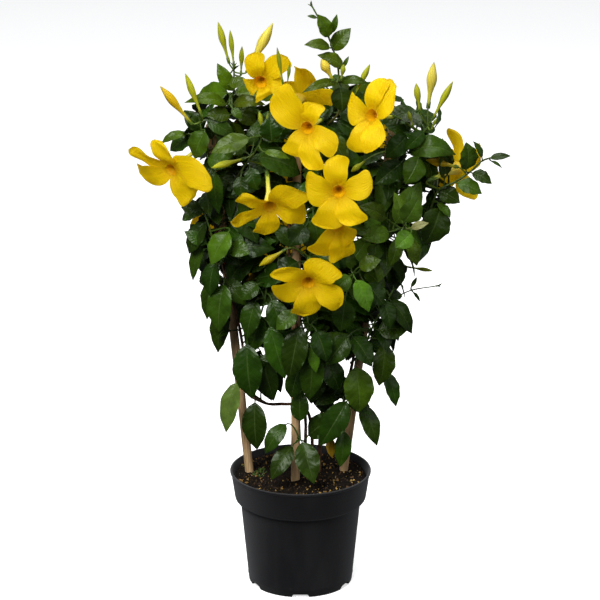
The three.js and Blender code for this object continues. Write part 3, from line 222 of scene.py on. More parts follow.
VINES = {
    "left": [
        (14, 4, VINE_FOOT), (14, 4, VINE_COLLAR),
        seen(312, 437, 4), seen(309, 415, 3), seen(301, 405, 1), seen(284, 404, 2), seen(265, 403, 6),
        *twine(CANES["left"], 236, 575, 50, -330, 11),
    ],
    "middle": [
        (5, -3, VINE_FOOT), (5, -3, VINE_COLLAR),
        seen(305.5, 440, -6), seen(305.5, 420, -10),
        *twine(CANES["middle"], 232, 578, 0, -320, 11),
    ],
    "right": [
        (23, 8, VINE_FOOT), (23, 8, VINE_COLLAR),
        seen(320, 432, 7), seen(322, 412, 6), seen(335, 396, 6), seen(346, 387, 8),
        *twine(CANES["right"], 262, 570, 190, 280, 10),
    ],
}


def leaf(column, row, tip_column, tip_row, y, out, wide, rise=0.1, tone=None):
    """A leaf by its base and tip in the picture, the depth y of its base, and how much deeper its tip is."""
    base, tip = (column, row), (tip_column, tip_row)
    return Record(base=base, tip=tip, y=y, out=out, wide=wide, rise=rise, tone=tone)


def bud(tip_column, tip_row, column, row, y, wide):
    return Record(base=(column, row), tip=(tip_column, tip_row), y=y, wide=wide)


def bloom(name, at, face, reach, roll=0, tube=BLOOM_TUBE, tips=None):
    """A bloom by the picture place and depth of its mouth and the way it faces. Its lobes spread evenly
    from the roll, or go to their tips, each given by picture place, half width and lean."""
    return Record(name=name, at=at, face=face, reach=reach, roll=roll, tube=tube, tips=tips)


STEMS = {}


def stem(name, vine, radius, path, leaves=(), buds=(), blooms=(), fill=(0.3, 0.95), tone="dark"):
    """Notes a leafy stem: the vine that it grows from, its path by picture place and depth, what is known to
    grow on it, each leaf and bud as a row of values, and the stretch of it that leaves fill by rule."""
    leaves, buds = [leaf(*row) for row in leaves], [bud(*row) for row in buds]
    STEMS[name] = Record(
        vine=vine, radius=radius, path=path, leaves=leaves, buds=buds, blooms=blooms, fill=fill, tone=tone
    )


# The leafy stems. The last seven stand at the back, where the picture doesn't show them.
stem(
    "top", "middle", 1.5, fill=(0.1, 0.36), tone="olive",
    path=[
        (303, 150, -2), (320, 130, -8), (338, 114, -14), (342, 96, -16), (339, 80, -15), (338, 67, -14),
        (334, 52, -12), (328, 36, -10), (318, 17, -8), (313, 8, -7),
    ],
    leaves=[
        (336, 83, 302, 93, -28, -18, 12, 0.24), (340, 82, 369, 84, -20, -8, 12, 0.22),
        (340, 87, 342, 112, -26, -4, 26, 0.1, "dark"), (343, 66, 317, 55, -18, -6, 18, 0.14),
        (330, 48, 304, 45, -14, -6, 14, 0.2), (332, 50, 351, 28, -10, 2, 20),
        (329, 37, 317, 14, -17, -5, 18), (332, 33, 337, 14, -6, 2, 8),
    ],
    buds=[(321, 59, 333, 80, -34, 11), (344, 64, 341, 80, -24, 6), (370, 64, 355, 94, -28, 7)],
)
stem(
    "left_top", "left", 1.5, fill=(0.2, 0.5), tone="olive",
    path=[(210, 116, 24), (221, 109, 10), (230, 100, -6), (234, 90, -12), (234, 79, -12), (234, 70, -10)],
    leaves=[
        (233, 91, 217, 63, -18, 4, 17), (229, 85, 249, 81, -38, -2, 15),
        (227, 105, 184, 103, -18, -8, 16, 0.3), (233, 105, 266, 105, -20, -14, 16, 0.28),
        (230, 115, 206, 116, -30, -8, 20), (239, 109, 256, 126, -6, -6, 20),
    ],
    buds=[
        (218, 22, 229, 63, -12, 8), (230, 30, 234, 67, -20, 6), (273, 23, 247, 72, -14, 12),
        (242, 46, 241, 75, -2, 6),
    ],
)
stem(
    "left_flower", "left", 1.5,
    path=[(217, 182, 2), (210, 162, -16), (206, 146, -26), (202, 132, -30), (200, 122, -30)],
    leaves=[
        (203, 130, 184, 110, -22, 6, 20), (205, 131, 195, 159, -24, 0, 30),
        (187, 134, 161, 144, -30, -2, 12, 0.22, "mid"), (192, 136, 170, 151, -20, 4, 25),
        (215, 172, 219, 214, -38, -6, 22), (208, 158, 231, 166, -40, -12, 22),
    ],
    buds=[(160, 86, 192, 124, -32, 10), (185, 73, 202, 116, -30, 8)],
    blooms=[
        bloom(
            "left", (167, 173, -56), (-0.58, -0.76, -0.29), 50,
            tips=[
                (159, 144, 17, -0.1), (206, 177, 20, 0.3), (193, 198, 18, 0), (140, 177, 15, 0),
                (129, 148, 9, -0.1),
            ],
        ),
    ],
)
stem(
    "left_middle", "left", 1.6,
    path=[
        (224, 205, 12), (232, 186, -14), (242, 170, -38), (252, 156, -52), (260, 143, -58),
        (262, 132, -58),
    ],
    leaves=[
        (249, 138, 211, 153, -74, -8, 23, 0.08, "mid"), (272, 141, 270, 116, -66, 4, 26),
        (250, 168, 257, 190, -62, -6, 19), (241, 176, 242, 200, -56, -6, 18),
        (246, 152, 224, 142, -46, 8, 20), (264, 152, 290, 159, -66, -4, 9, 0.16, "bright"),
    ],
    buds=[(211, 168, 246, 158, -66, 8), (259, 111, 264, 134, -62, 6), (268, 112, 266, 132, -54, 4)],
    blooms=[
        bloom(
            "front_left", (270, 211, -104), (0.06, -0.88, -0.47), 46,
            tips=[
                (299, 190, 18, 0.15), (307, 213, 17, 0.1), (266, 234, 14, 0), (230, 223, 9, -0.15),
                (239, 197, 10, -0.1),
            ],
        ),
    ],
)
stem(
    "left_side", "left", 1.5,
    path=[
        (233, 300, 4), (222, 286, -14), (217, 266, -24), (214, 246, -28), (209, 226, -28), (203, 210, -24),
    ],
    leaves=[
        (229, 232, 211, 265, -52, -6, 30, 0.1, "mid"), (230, 246, 250, 254, -46, -14, 22, 0.1, "mid"),
        (203, 212, 181, 207, -28, 2, 20), (206, 222, 189, 254, -22, 2, 24),
        (203, 240, 193, 281, -12, 2, 18), (215, 262, 210, 296, -40, -2, 24),
        (224, 284, 219, 332, -38, -6, 33), (216, 276, 207, 320, -18, 2, 24),
        (226, 305, 218, 353, -16, -2, 27),
    ],
)
stem(
    "low_cross", "left", 1.3,
    path=[(266, 403, 5), (260, 399, -6), (250, 392, -12), (243, 385, -14)],
    leaves=[
        (255, 402, 257, 450, -20, -4, 31), (237, 382, 226, 433, -22, -6, 25, 0.1, "pale"),
        (258, 376, 272, 401, 4, 4, 22),
    ],
)
stem(
    "low_left", "left", 1.5, fill=(0.5, 0.95),
    path=[
        (240, 352, 8), (248, 340, -8), (255, 326, -18), (262, 310, -26), (266, 292, -30), (266, 276, -24),
    ],
    leaves=[
        (247, 344, 252, 399, -28, -6, 36), (262, 354, 274, 401, -16, -2, 26),
        (270, 352, 281, 393, -2, 2, 18), (270, 326, 285, 379, -34, -4, 28),
        (262, 318, 250, 354, -20, -6, 28), (256, 300, 247, 338, -36, -4, 26),
        (272, 300, 284, 334, -50, -8, 26), (258, 284, 241, 300, -40, -4, 22),
    ],
    blooms=[
        bloom("inner_left", (249, 260, 13), (-0.2, -0.95, 0.1), 24, tube=30),
    ],
)
stem(
    "soil_level", "middle", 1.2,
    path=[(305.5, 440, -6), (304, 441, -20), (300, 440, -33)],
    leaves=[
        (286, 424, 265, 454, -38, -8, 21, 0.2), (292, 446, 271, 480, -42, -18, 23, 0.12),
        (302, 442, 314, 484, -40, -24, 29, 0.06),
    ],
)
stem(
    "low_middle", "middle", 1.5,
    path=[(297, 372, -26), (302, 356, -40), (306, 340, -46), (308, 324, -48), (306, 308, -46)],
    leaves=[
        (300, 326, 289, 380, -58, -6, 31), (311, 346, 316, 373, -62, -6, 14, 0.1, "bright"),
        (298, 370, 291, 398, -42, 2, 22), (314, 350, 309, 400, -44, 4, 29),
        (316, 330, 327, 362, -48, -6, 26), (296, 312, 276, 330, -54, -6, 22),
    ],
)
stem(
    "low_right", "right", 1.3,
    path=[(342, 389, 8), (343, 396, -10), (344, 410, -16), (343, 426, -14)],
    leaves=[
        (347, 401, 320, 446, -30, -8, 31), (344, 431, 340, 467, -20, -6, 21),
        (329, 437, 332, 458, -24, -2, 12, 0.1, "yellow"), (361, 405, 377, 446, -8, -6, 25),
    ],
)
stem(
    "right_low", "right", 1.5,
    path=[
        (359, 366, 8), (363, 352, -8), (368, 338, -18), (375, 322, -24), (384, 306, -26), (392, 292, -24),
    ],
    leaves=[
        (355, 367, 359, 413, -24, -4, 38, 0.1, "mid"), (384, 344, 379, 386, -22, -2, 30, 0.1, "mid"),
        (385, 372, 396, 407, -4, -2, 20), (378, 330, 408, 330, -30, 2, 26),
        (390, 300, 412, 334, -34, 4, 25), (352, 336, 372, 367, -46, -8, 26),
        (348, 336, 326, 365, -54, -6, 28), (383, 300, 390, 330, -46, -6, 22),
    ],
)
stem(
    "right_thin", "right", 1,
    path=[(372, 318, 16), (386, 304, 4), (409, 291, 0), (436, 286, -2)],
)
stem(
    "bright", "right", 1.4, tone="bright",
    path=[(373, 262, 8), (366, 266, -22), (358, 272, -50), (353, 274, -64)],
    leaves=[
        (350, 276, 332, 293, -76, -6, 21), (356, 280, 369, 312, -76, -6, 24),
        (359, 267, 381, 260, -70, -4, 20), (351, 269, 349, 249, -74, 2, 13),
        (366, 284, 384, 306, -52, -2, 26, 0.1, "dark"), (345, 300, 340, 332, -56, -4, 28, 0.1, "dark"),
    ],
)
stem(
    "rosette", "right", 1.5, tone="young",
    path=[(380, 236, 14), (388, 232, -18), (398, 229, -44), (406, 227, -62)],
    leaves=[
        (401, 217, 394, 192, -58, 8, 16), (408, 208, 413, 187, -52, 8, 13),
        (404, 222, 419, 197, -76, 0, 27), (411, 228, 429, 223, -76, -4, 10, 0.1, "blush"),
        (411, 233, 395, 248, -80, -10, 22), (398, 238, 390, 266, -64, -6, 18, 0.1, "mid"),
        (389, 232, 362, 239, -58, -12, 23, 0.1, "bright"), (386, 218, 359, 206, -46, -10, 23, 0.1, "mid"),
        (408, 240, 417, 266, -54, 0, 22, 0.1, "mid"), (376, 244, 372, 262, -36, -12, 20, 0.1, "dark"),
    ],
)
stem(
    "right_far", "right", 1.5,
    path=[
        (385, 205, 20), (406, 222, 10), (424, 224, 0), (431, 208, -6), (439, 190, -8), (455, 182, -10),
        (470, 172, -12), (482, 161, -12), (494, 157, -12),
    ],
    leaves=[
        (466, 170, 466, 142, -22, 2, 30), (482, 158, 473, 141, -6, 6, 10),
        (457, 183, 482, 194, -25, -6, 22), (472, 173, 492, 184, -16, -4, 20),
        (490, 158, 511, 156, -16, -2, 9), (491, 161, 502, 168, -8, 0, 5),
        (440, 208, 424, 245, -22, -8, 42), (438, 191, 460, 203, -6, -4, 26),
    ],
    buds=[(426, 160, 458, 167, -30, 10)],
    blooms=[
        bloom(
            "right", (462, 166, 14), (0.68, 0.7, 0.1), 42, tube=52,
            tips=[
                (451, 128, 11, 0.15), (482, 150, 10, 0.2), (469, 199, 13, 0.2), (441, 184, 14, 0.2),
                (440, 153, 13, 0.2),
            ],
        ),
    ],
)
stem(
    "right_top", "right", 1.5,
    path=[(390, 165, 14), (402, 152, -2), (414, 142, -12), (424, 132, -16), (428, 126, -16)],
    leaves=[
        (419, 157, 405, 184, -40, -12, 28, 0.1, "mid"), (408, 152, 456, 155, -22, -4, 29, 0.32),
        (424, 131, 404, 150, -30, -8, 16), (417, 123, 416, 98, 6, 8, 22), (406, 126, 401, 101, 0, 6, 18),
        (407, 136, 385, 158, -26, -10, 24), (402, 162, 374, 185, -38, -14, 26),
        (436, 126, 438, 104, 2, 6, 13), (426, 158, 432, 186, -12, 2, 24),
    ],
    buds=[
        (416, 83, 420, 112, -22, 8), (434, 62, 428, 108, -16, 12), (453, 81, 432, 120, -14, 8),
        (408, 111, 413, 126, -26, 5), (437, 118, 431, 130, -26, 4), (351, 172, 366, 160, -46, 7),
    ],
    blooms=[
        bloom(
            "upper_right", (368, 115, -72), (-0.55, -0.8, 0.24), 49, tube=52,
            tips=[
                (380, 77, 13, 0), (396, 88, 16, -0.2), (375, 151, 15, 0.1), (356, 153, 14, 0.1),
                (348, 107, 17, 0.1),
            ],
        ),
    ],
)
stem(
    "centre_top", "middle", 1.7,
    path=[(301, 165, -4), (302, 148, -18), (300, 134, -26), (296, 118, -30), (292, 106, -30)],
    leaves=[
        (288, 118, 268, 132, -38, -8, 20), (312, 140, 318, 164, -30, -8, 24),
        (304, 118, 329, 110, -34, -6, 20),
    ],
    buds=[(277, 47, 283, 84, -68, 5), (290, 63, 287, 86, -66, 4)],
    blooms=[
        bloom(
            "centre", (305, 129, -98), (-0.3, -0.94, 0.06), 48,
            tips=[
                (315, 102, 13, 0.1), (338, 148, 13, 0), (315, 171, 12, -0.1), (293, 157, 13, 0),
                (273, 92, 20, 0),
            ],
        ),
        bloom("inner", (279, 167, 20), (-0.72, 0.66, -0.1), 28, roll=50, tube=24),
        bloom(
            "top_left", (259, 84, -46), (-0.2, -0.97, -0.1), 40, tube=52,
            tips=[
                (285, 55, 12, 0), (284, 86, 12, 0.1), (266, 98, 12, 0.1), (246, 88, 11, 0),
                (252, 53, 12, 0),
            ],
        ),
        bloom(
            "top", (302, 92, 6), (0.3, 0.72, 0.62), 42, tube=38,
            tips=[
                (308, 66, 14, 0), (335, 100, 14, 0), (316, 112, 13, 0.1), (288, 104, 13, 0.1),
                (283, 82, 12, 0),
            ],
        ),
    ],
)
stem(
    "centre", "middle", 1.6,
    path=[(299, 222, -6), (310, 210, -26), (322, 200, -40), (332, 196, -48)],
    leaves=[
        (322, 190, 297, 190, -58, -6, 22), (306, 226, 290, 246, -48, -10, 26),
        (344, 200, 366, 222, -52, -8, 24), (314, 218, 318, 242, -44, -6, 22),
    ],
    buds=[(300, 238, 304, 221, -40, 4)],
    blooms=[
        bloom(
            "front_right", (338, 193, -118), (-0.1, -0.99, 0.02), 42,
            tips=[
                (335, 156, 14, 0.05), (373, 181, 14, -0.1), (358, 225, 14, -0.15), (326, 230, 17, 0.05),
                (305, 188, 19, 0.1),
            ],
        ),
        bloom(
            "below_front", (337, 231, -95), (0.04, -0.9, -0.42), 37, tube=48,
            tips=[
                (348, 213, 12, 0), (354, 240, 12, 0.1), (345, 259, 15, 0), (318, 257, 15, 0),
                (322, 213, 12, 0),
            ],
        ),
    ],
)
stem(
    "centre_low", "middle", 1.5,
    path=[(299, 292, -12), (305, 278, -30), (309, 266, -40), (310, 258, -42)],
    leaves=[
        (298, 262, 275, 276, -44, -10, 26), (318, 256, 340, 268, -56, -8, 24),
        (300, 272, 292, 306, -40, -6, 28), (316, 272, 330, 306, -38, -6, 28),
    ],
    buds=[(259, 266, 286, 249, -60, 9)],
    blooms=[
        bloom(
            "low", (308, 286, -104), (-0.03, -0.97, -0.24), 42,
            tips=[
                (329, 264, 20, 0.1), (344, 301, 14, 0), (306, 317, 16, 0.05), (274, 297, 14, 0),
                (275, 271, 14, -0.35),
            ],
        ),
    ],
)
stem(
    "right_side", "right", 1.4, fill=(0.35, 1),
    path=[(374, 270, 20), (392, 262, 22), (404, 248, 24), (410, 230, 26)],
    buds=[(433, 271, 408, 267, 16, 5)],
)
stem(
    "left_back", "left", 1.5, fill=(0.2, 1),
    path=[(230, 290, 18), (222, 272, 48), (212, 248, 72), (206, 226, 86)],
    blooms=[
        bloom("back_left", (224, 210, 118), (-0.35, 0.9, 0.25), 42, roll=10, tube=46),
    ],
)
stem(
    "left_back_top", "left", 1.5, fill=(0.2, 1),
    path=[(222, 196, 20), (228, 176, 46), (236, 154, 68), (242, 134, 80), (246, 116, 84)],
)
stem(
    "middle_back_low", "middle", 1.5, fill=(0.2, 1),
    path=[(297, 340, -6), (300, 318, 28), (296, 292, 58), (290, 268, 80)],
    blooms=[
        bloom("back_low", (284, 240, 116), (-0.05, 0.96, 0.2), 43, roll=40, tube=46),
    ],
)
stem(
    "middle_back", "middle", 1.5, fill=(0.2, 1),
    path=[(297, 238, 0), (288, 216, 34), (280, 192, 64), (274, 168, 84)],
    blooms=[
        bloom("back", (268, 142, 122), (0.05, 0.93, 0.35), 46, roll=18, tube=46),
    ],
)
stem(
    "middle_back_top", "middle", 1.5, fill=(0.2, 1),
    path=[(300, 180, 0), (312, 158, 32), (322, 134, 56), (328, 112, 68), (330, 94, 70)],
)
stem(
    "right_back_low", "right", 1.5, fill=(0.2, 1),
    path=[(362, 330, 22), (364, 306, 50), (360, 282, 76), (354, 258, 92)],
)
stem(
    "right_back", "right", 1.5, fill=(0.2, 1),
    path=[(382, 220, 24), (386, 198, 52), (382, 174, 76), (374, 152, 90)],
    blooms=[
        bloom("back_right", (372, 122, 122), (0.3, 0.86, 0.42), 44, roll=52, tube=46),
    ],
)

CROWN_EDGE = [
    (seen(left, row, 0), seen(right, row, 0))
    for row, left, right in [
        (70, 225, 395), (100, 190, 430), (150, 180, 452), (210, 180, 450), (250, 190, 425),
        (300, 204, 404), (350, 216, 396), (400, 236, 380), (440, 262, 350),
    ]
]
CROWN_FRONT = -44
CROWN_BACK = 136
CROWN_LOWEST = 205


def in_crown(place):
    x, y, z = place
    if y < CROWN_FRONT or y > CROWN_BACK or z < CROWN_LOWEST:
        return False
    below = next((i for i, (low, _) in enumerate(CROWN_EDGE) if low[2] <= z), -1)
    if below < 1:
        return False
    upper, lower = CROWN_EDGE[below - 1 : below + 1]
    share = (upper[0][2] - z) / (upper[0][2] - lower[0][2])
    left, right = (upper[side][0] + (lower[side][0] - upper[side][0]) * share for side in (0, 1))
    return left < x < right


def curve_place(points, t):
    """The place at share t of a smooth curve through the points."""
    last = len(points) - 1
    step = min(floor(last * t), last - 1)
    weight = min(last * t - step, 1)
    one, two = points[step], points[step + 1]
    before = points[step - 1] if step > 0 else plus(minus(points[0], points[1]), points[0])
    after = points[step + 2] if step + 2 <= last else plus(minus(two, one), two)
    place = []
    for a, b, c, d in zip(before, one, two, after):
        leave, arrive = 0.5 * (c - a), 0.5 * (d - b)
        square = -3 * b + 3 * c - 2 * leave - arrive
        cube = 2 * b - 2 * c + leave + arrive
        place.append(b + leave * weight + square * weight**2 + cube * weight**3)
    return tuple(place)


def places_along(points, count):
    return [curve_place(points, share) for share in shares(count)]


def curve_tangent(points, t):
    low, high = max(0, t - 0.0001), min(1, t + 0.0001)
    return unit(minus(curve_place(points, high), curve_place(points, low)))


def curve_length(points):
    places = places_along(points, 200)
    return sum(distance(a, b) for a, b in zip(places, places[1:]))


def nearest_place(places, target):
    return min(places, key=lambda place: distance(place, target))


def make_blade(root, base, tip, wide, rise, face, tone):
    """A leaf blade: a middle line that arches from base to tip, and the direction of its right side."""
    run = minus(tip, base)
    side = unit(cross(run, face))
    length = size_of(run)
    middle = plus(mix(base, tip, 0.5), unit(cross(side, run)), rise * length * 2)
    return Record(
        root=root, base=base, tip=tip, wide=wide, length=length, side=side, middle=middle, tone=tone
    )


def blade_width(t):
    drip = 1 - 0.3 * max(0, (t - 0.75) / 0.25)
    return sin(pi * t**0.8) ** 0.8 * drip if 0 < t < 1 else 0


def blade_frame(blade, t):
    """The place, the way along and the way up at share t of a blade's middle line."""
    along = unit(mix(minus(blade.middle, blade.base), minus(blade.tip, blade.middle), t))
    return arc_place(blade.base, blade.middle, blade.tip, t), along, unit(cross(blade.side, along))


def blade_place(blade, t, v):
    """The blade's surface at share t of its length and share v, from -1 to 1, of its width."""
    place, _, normal = blade_frame(blade, t)
    half = (blade.wide / 2) * blade_width(t)
    return plus(plus(place, blade.side, v * half * cos(LEAF_FOLD)), normal, abs(v) * half * sin(LEAF_FOLD))


def lobe_to(flower, column, row, half, lean=LOBE_SWEEP):
    """A lobe of some half width that ends at a place of the picture, in the plane of its bloom's mouth.
    It leans sideways by a share of its reach, to the right as seen from its front."""
    mouth, front = flower.mouth, flower.front
    near = seen(column, row, -200)
    run = minus(seen(column, row, 200), near)
    away = minus(plus(near, run, dot(minus(mouth, near), front) / dot(run, front)), mouth)
    x, y = dot(away, flower.right), dot(away, flower.up)
    return Record(angle=atan2(x, y) - atan(lean), reach=hypot(x, y) / hypot(1, lean), half=half, lean=lean)


def bloom_frame(spec):
    front, reach = unit(spec.face), spec.reach
    up = unit(plus(UP, front, -dot(front, UP)))
    flower = Record(**vars(spec), mouth=seen(*spec.at), front=front, up=up, right=cross(up, front))
    if spec.tips:
        lobes = [lobe_to(flower, *tip) for tip in spec.tips]
    else:
        turns = [radians(spec.roll + i * 360 / LOBES) for i in range(LOBES)]
        half = reach * LOBE_HALF_WIDTH
        lobes = [Record(angle=turn, reach=reach, half=half, lean=LOBE_SWEEP) for turn in turns]
    flower.lobes = sorted(lobes, key=lambda lobe: lobe.angle)
    for lobe in flower.lobes:
        lobe.out = turned(flower.up, flower.right, lobe.angle)
        lobe.across = plus(times(flower.right, cos(lobe.angle)), flower.up, -sin(lobe.angle))
    return flower


def lobe_shape(q):
    swell = 0.62 + 0.38 * sin((pi / 2) * min(q / 0.45, 1))
    return swell * sqrt(max(0, 1 - (max(0, q - 0.65) / 0.35) ** 2))


def lobe_place(flower, lobe, q, v):
    """A petal lobe's surface at share q from mouth to tip and share v across it."""
    half = lobe.half * lobe_shape(q)
    place = plus(flower.mouth, lobe.out, LOBE_ROOT + (lobe.reach - LOBE_ROOT) * q)
    place = plus(place, lobe.across, v * half + lobe.lean * lobe.reach * q * q)
    lift = lobe.reach * (LOBE_RISE * q - LOBE_DROOP * q * q)
    return plus(place, flower.front, lift + LOBE_TWIST * v * half)


# What is already taken, by cells of space, so that nothing grows through anything else
CELL = 6
NEAR_CELLS = list(product((-1, 0, 1), repeat=3))
taken = {}


def cell_of(place):
    return tuple(floor(n / CELL) for n in place)


def take(places, owner):
    for place in places:
        taken.setdefault(cell_of(place), []).append((place, owner))


def is_clear(places, clearance, owner):
    for place in places:
        cell = cell_of(place)
        for step in NEAR_CELLS:
            for other, other_owner in taken.get(plus(cell, step), ()):
                if other_owner != owner and distance(other, place) < clearance:
                    return False
    return True


def clear_of_canes(places):
    return all(
        place[2] > cane[1][2] + CANE_CLEARANCE or distance(cane_at(cane, place[2]), place) > CANE_CLEARANCE
        for place in places
        for cane in CANES.values()
    )


def blade_places(blade):
    """Places spread over a blade, for keeping other things off it."""
    rows = max(3, whole(blade.length / BLADE_STEP))
    columns = max(2, whole(blade.wide / BLADE_COLUMN))
    return [
        blade_place(blade, (row + 0.6) / rows, (2 * column) / columns - 1)
        for row in range(rows)
        for column in range(columns + 1)
    ]


def petiole_places(blade):
    run = minus(blade.base, blade.root)
    count = max(1, whole(size_of(run) / PETIOLE_STEP))
    return [plus(blade.root, run, (i + 1) / (count + 1)) for i in range(count)]


def bloom_places(flower):
    foot = plus(flower.mouth, flower.front, -flower.tube)
    tube = [mix(flower.mouth, foot, share) for share in shares(10)]
    petals = product(flower.lobes, shares(5), (-1, -0.5, 0, 0.5, 1))
    return tube + [lobe_place(flower, lobe, q, v) for lobe, q, v in petals]


FACE_SPREAD = 260
FACE_FRONT = -0.75
FACE_BACK = 0.35
FACE_UP = 0.6


def leaf_face(place):
    """The way a leaf's upper side turns: up, out from the crown's middle, and to the viewer in front."""
    return unit((place[0] / FACE_SPREAD, FACE_FRONT if place[1] < 0 else FACE_BACK, FACE_UP))


vine_places = {name: places_along(places, len(places) * 8) for name, places in VINES.items()}
for places in vine_places.values():
    take(places, "vine")


def stem_line(spec):
    """A leafy stem starts inside its vine, and bends round the cane if that is in its way."""
    first, second, *rest = [seen(*place) for place in spec.path]
    root = nearest_place(vine_places[spec.vine], first)
    cane = CANES[spec.vine]
    stretch = [mix(root, second, share) for share in shares(12)]
    nearest = min(stretch, key=lambda place: distance(cane_at(cane, place[2]), place))
    axis = cane_at(cane, nearest[2])
    berth = CANE_RADIUS + spec.radius + STEM_BERTH
    if distance(axis, nearest) >= berth:
        return [root, second, *rest]
    sideways = unit(cross(minus(second, root), UP))
    hand = -1 if dot(minus(nearest, axis), sideways) < 0 else 1
    return [root, plus(axis, sideways, hand * berth * 1.15), second, *rest]


def plan_stem(name, spec):
    line = stem_line(spec)
    places = places_along(line, len(line) * 8)
    take(places[2:], name)
    flowers = [bloom_frame(flower) for flower in spec.blooms]
    for flower in flowers:
        flower.stalk_end = plus(flower.mouth, flower.front, -(flower.tube + GAP + CALYX_LENGTH))
        flower.root = nearest_place(places[4:], flower.stalk_end)
        take(bloom_places(flower), "bloom " + flower.name)
        take([mix(flower.stalk_end, flower.root, i / 8) for i in range(8)], name)
    return Record(name=name, spec=spec, line=line, places=places, flowers=flowers, blades=[], buds=[])


stems = [plan_stem(name, spec) for name, spec in STEMS.items()]

# How much nearer or deeper something with a known place may stand, in the order in which it is tried
DEPTH_TRIES = [0, -6, 6, -12, 12, -18, 18, -24, 24]


def first_fit(tries, fits):
    """The first try that fits, or else the first of all."""
    return next((tried for tried in tries if fits(tried)), tries[0])


def add_blade(grown, blade):
    take(blade_places(blade), grown.name + " leaf")
    take(petiole_places(blade), grown.name)
    grown.blades.append(blade)


def add_known_leaf(grown, known):
    """A leaf at its known place, or a little nearer or deeper where something is in its way there."""

    def placed(nudge):
        base = seen(*known.base, known.y + nudge)
        tip = seen(*known.tip, known.y + known.out + nudge)
        root = nearest_place(grown.places[4:], base)
        tone = known.tone or grown.spec.tone
        return make_blade(root, base, tip, known.wide, known.rise, leaf_face(base), tone)

    def fits(blade):
        spread = blade_places(blade)
        return (
            is_clear(spread, KNOWN_CLEARANCE, grown.name)
            and is_clear(petiole_places(blade), PETIOLE_CLEARANCE, grown.name)
            and clear_of_canes(spread)
        )

    add_blade(grown, first_fit([placed(nudge) for nudge in DEPTH_TRIES], fits))


def add_known_bud(grown, known):
    clearance = KNOWN_CLEARANCE + known.wide / 2 - 2

    def placed(nudge):
        base, tip = (seen(*end, known.y + nudge) for end in (known.base, known.tip))
        root = nearest_place(grown.places[4:], base)
        body = [mix(base, tip, share) for share in shares(7)]
        stalk = [mix(root, base, (i + 1) / 5) for i in range(5)]
        return Record(root=root, base=base, tip=tip, wide=known.wide, body=body, stalk=stalk)

    def fits(tried):
        body_fits = is_clear(tried.body, clearance, grown.name)
        return body_fits and is_clear(tried.stalk, PETIOLE_CLEARANCE, grown.name)

    chosen = first_fit([placed(nudge) for nudge in DEPTH_TRIES], fits)
    take(chosen.body, grown.name + " bud")
    take(chosen.stalk, grown.name)
    grown.buds.append(chosen)


for grown in stems:
    for known in grown.spec.leaves:
        add_known_leaf(grown, known)
    for known in grown.spec.buds:
        add_known_bud(grown, known)

# How leaves grow by rule: their spacing, their least length and what a draw adds to it, their clearance, and
# the stalk's length in each round. The small leaves, which only the looks have, come no further forward than
# their front. The seeds are the first one and its steps from stem to stem and from round to round.
LARGE_LEAVES = Record(
    spacing=40, least=55, spread=17, clearance=5.4, stalks=(9,), front=None, seeds=(401, 77, 0)
)
SMALL_LEAVES = Record(
    spacing=11, least=34, spread=20, clearance=2.6, stalks=(9, 24), front=-34, seeds=(7001, 53, 17)
)
VINE_LEAVES = Record(
    spacing=9, least=34, spread=20, clearance=2.6, stalks=(9, 26, 44), front=-44, seeds=(9001, 41, 13)
)
VINE_LEAF_FILL = (0.5, 0.98)
# What is tried for each leaf: a turn round the stem, a droop and a share of the length
LEAF_TURNS = [
    (0, 0.5), (28, 0.8), (-28, 0.8), (56, 0.3), (-56, 0.3), (0, 1.5), (85, 1.1), (-85, 1.1), (0, -0.3),
]
LEAF_TRIES = [(turn, droop, size) for size in (1, 0.78) for turn, droop in LEAF_TURNS]

# Places, by column, row and radius, where light comes through the crown
CROWN_GAPS = [
    (236, 312, 9), (239, 330, 9), (270, 311, 12), (316, 67, 13), (438, 126, 8), (407, 92, 9), (214, 76, 9),
    (412, 277, 9), (282, 412, 17), (304, 84, 15), (325, 98, 9), (230, 350, 6), (362, 66, 18),
]


# The share of a bloom's reach, as the viewer sees it, that leaves by rule keep off
BLOOM_VIEW = 0.8


def hides_bloom(place):
    """Whether a place would stand in front of a bloom for the viewer."""
    for grown in stems:
        for flower in grown.flowers:
            away = minus(place, flower.mouth)
            near = hypot(away[0], dot(away, EYE_UP)) < flower.reach * BLOOM_VIEW
            if flower.mouth[1] < 0 and place[1] < flower.mouth[1] + flower.reach and near:
                return True
    return False


def in_gap(base, tip):
    """Whether a leaf would hide a place where light comes through the crown."""
    for share in (0, 0.35, 0.7, 1):
        column, row = picture_place(mix(base, tip, share))
        if any(hypot(column - gap[0], row - gap[1]) < gap[2] for gap in CROWN_GAPS):
            return True
    return False


def may_stand(base, tip, front):
    if not in_crown(tip) or not in_crown(mix(base, tip, 0.5)):
        return False
    return front is None or (min(base[1], tip[1]) > front and not in_gap(base, tip))


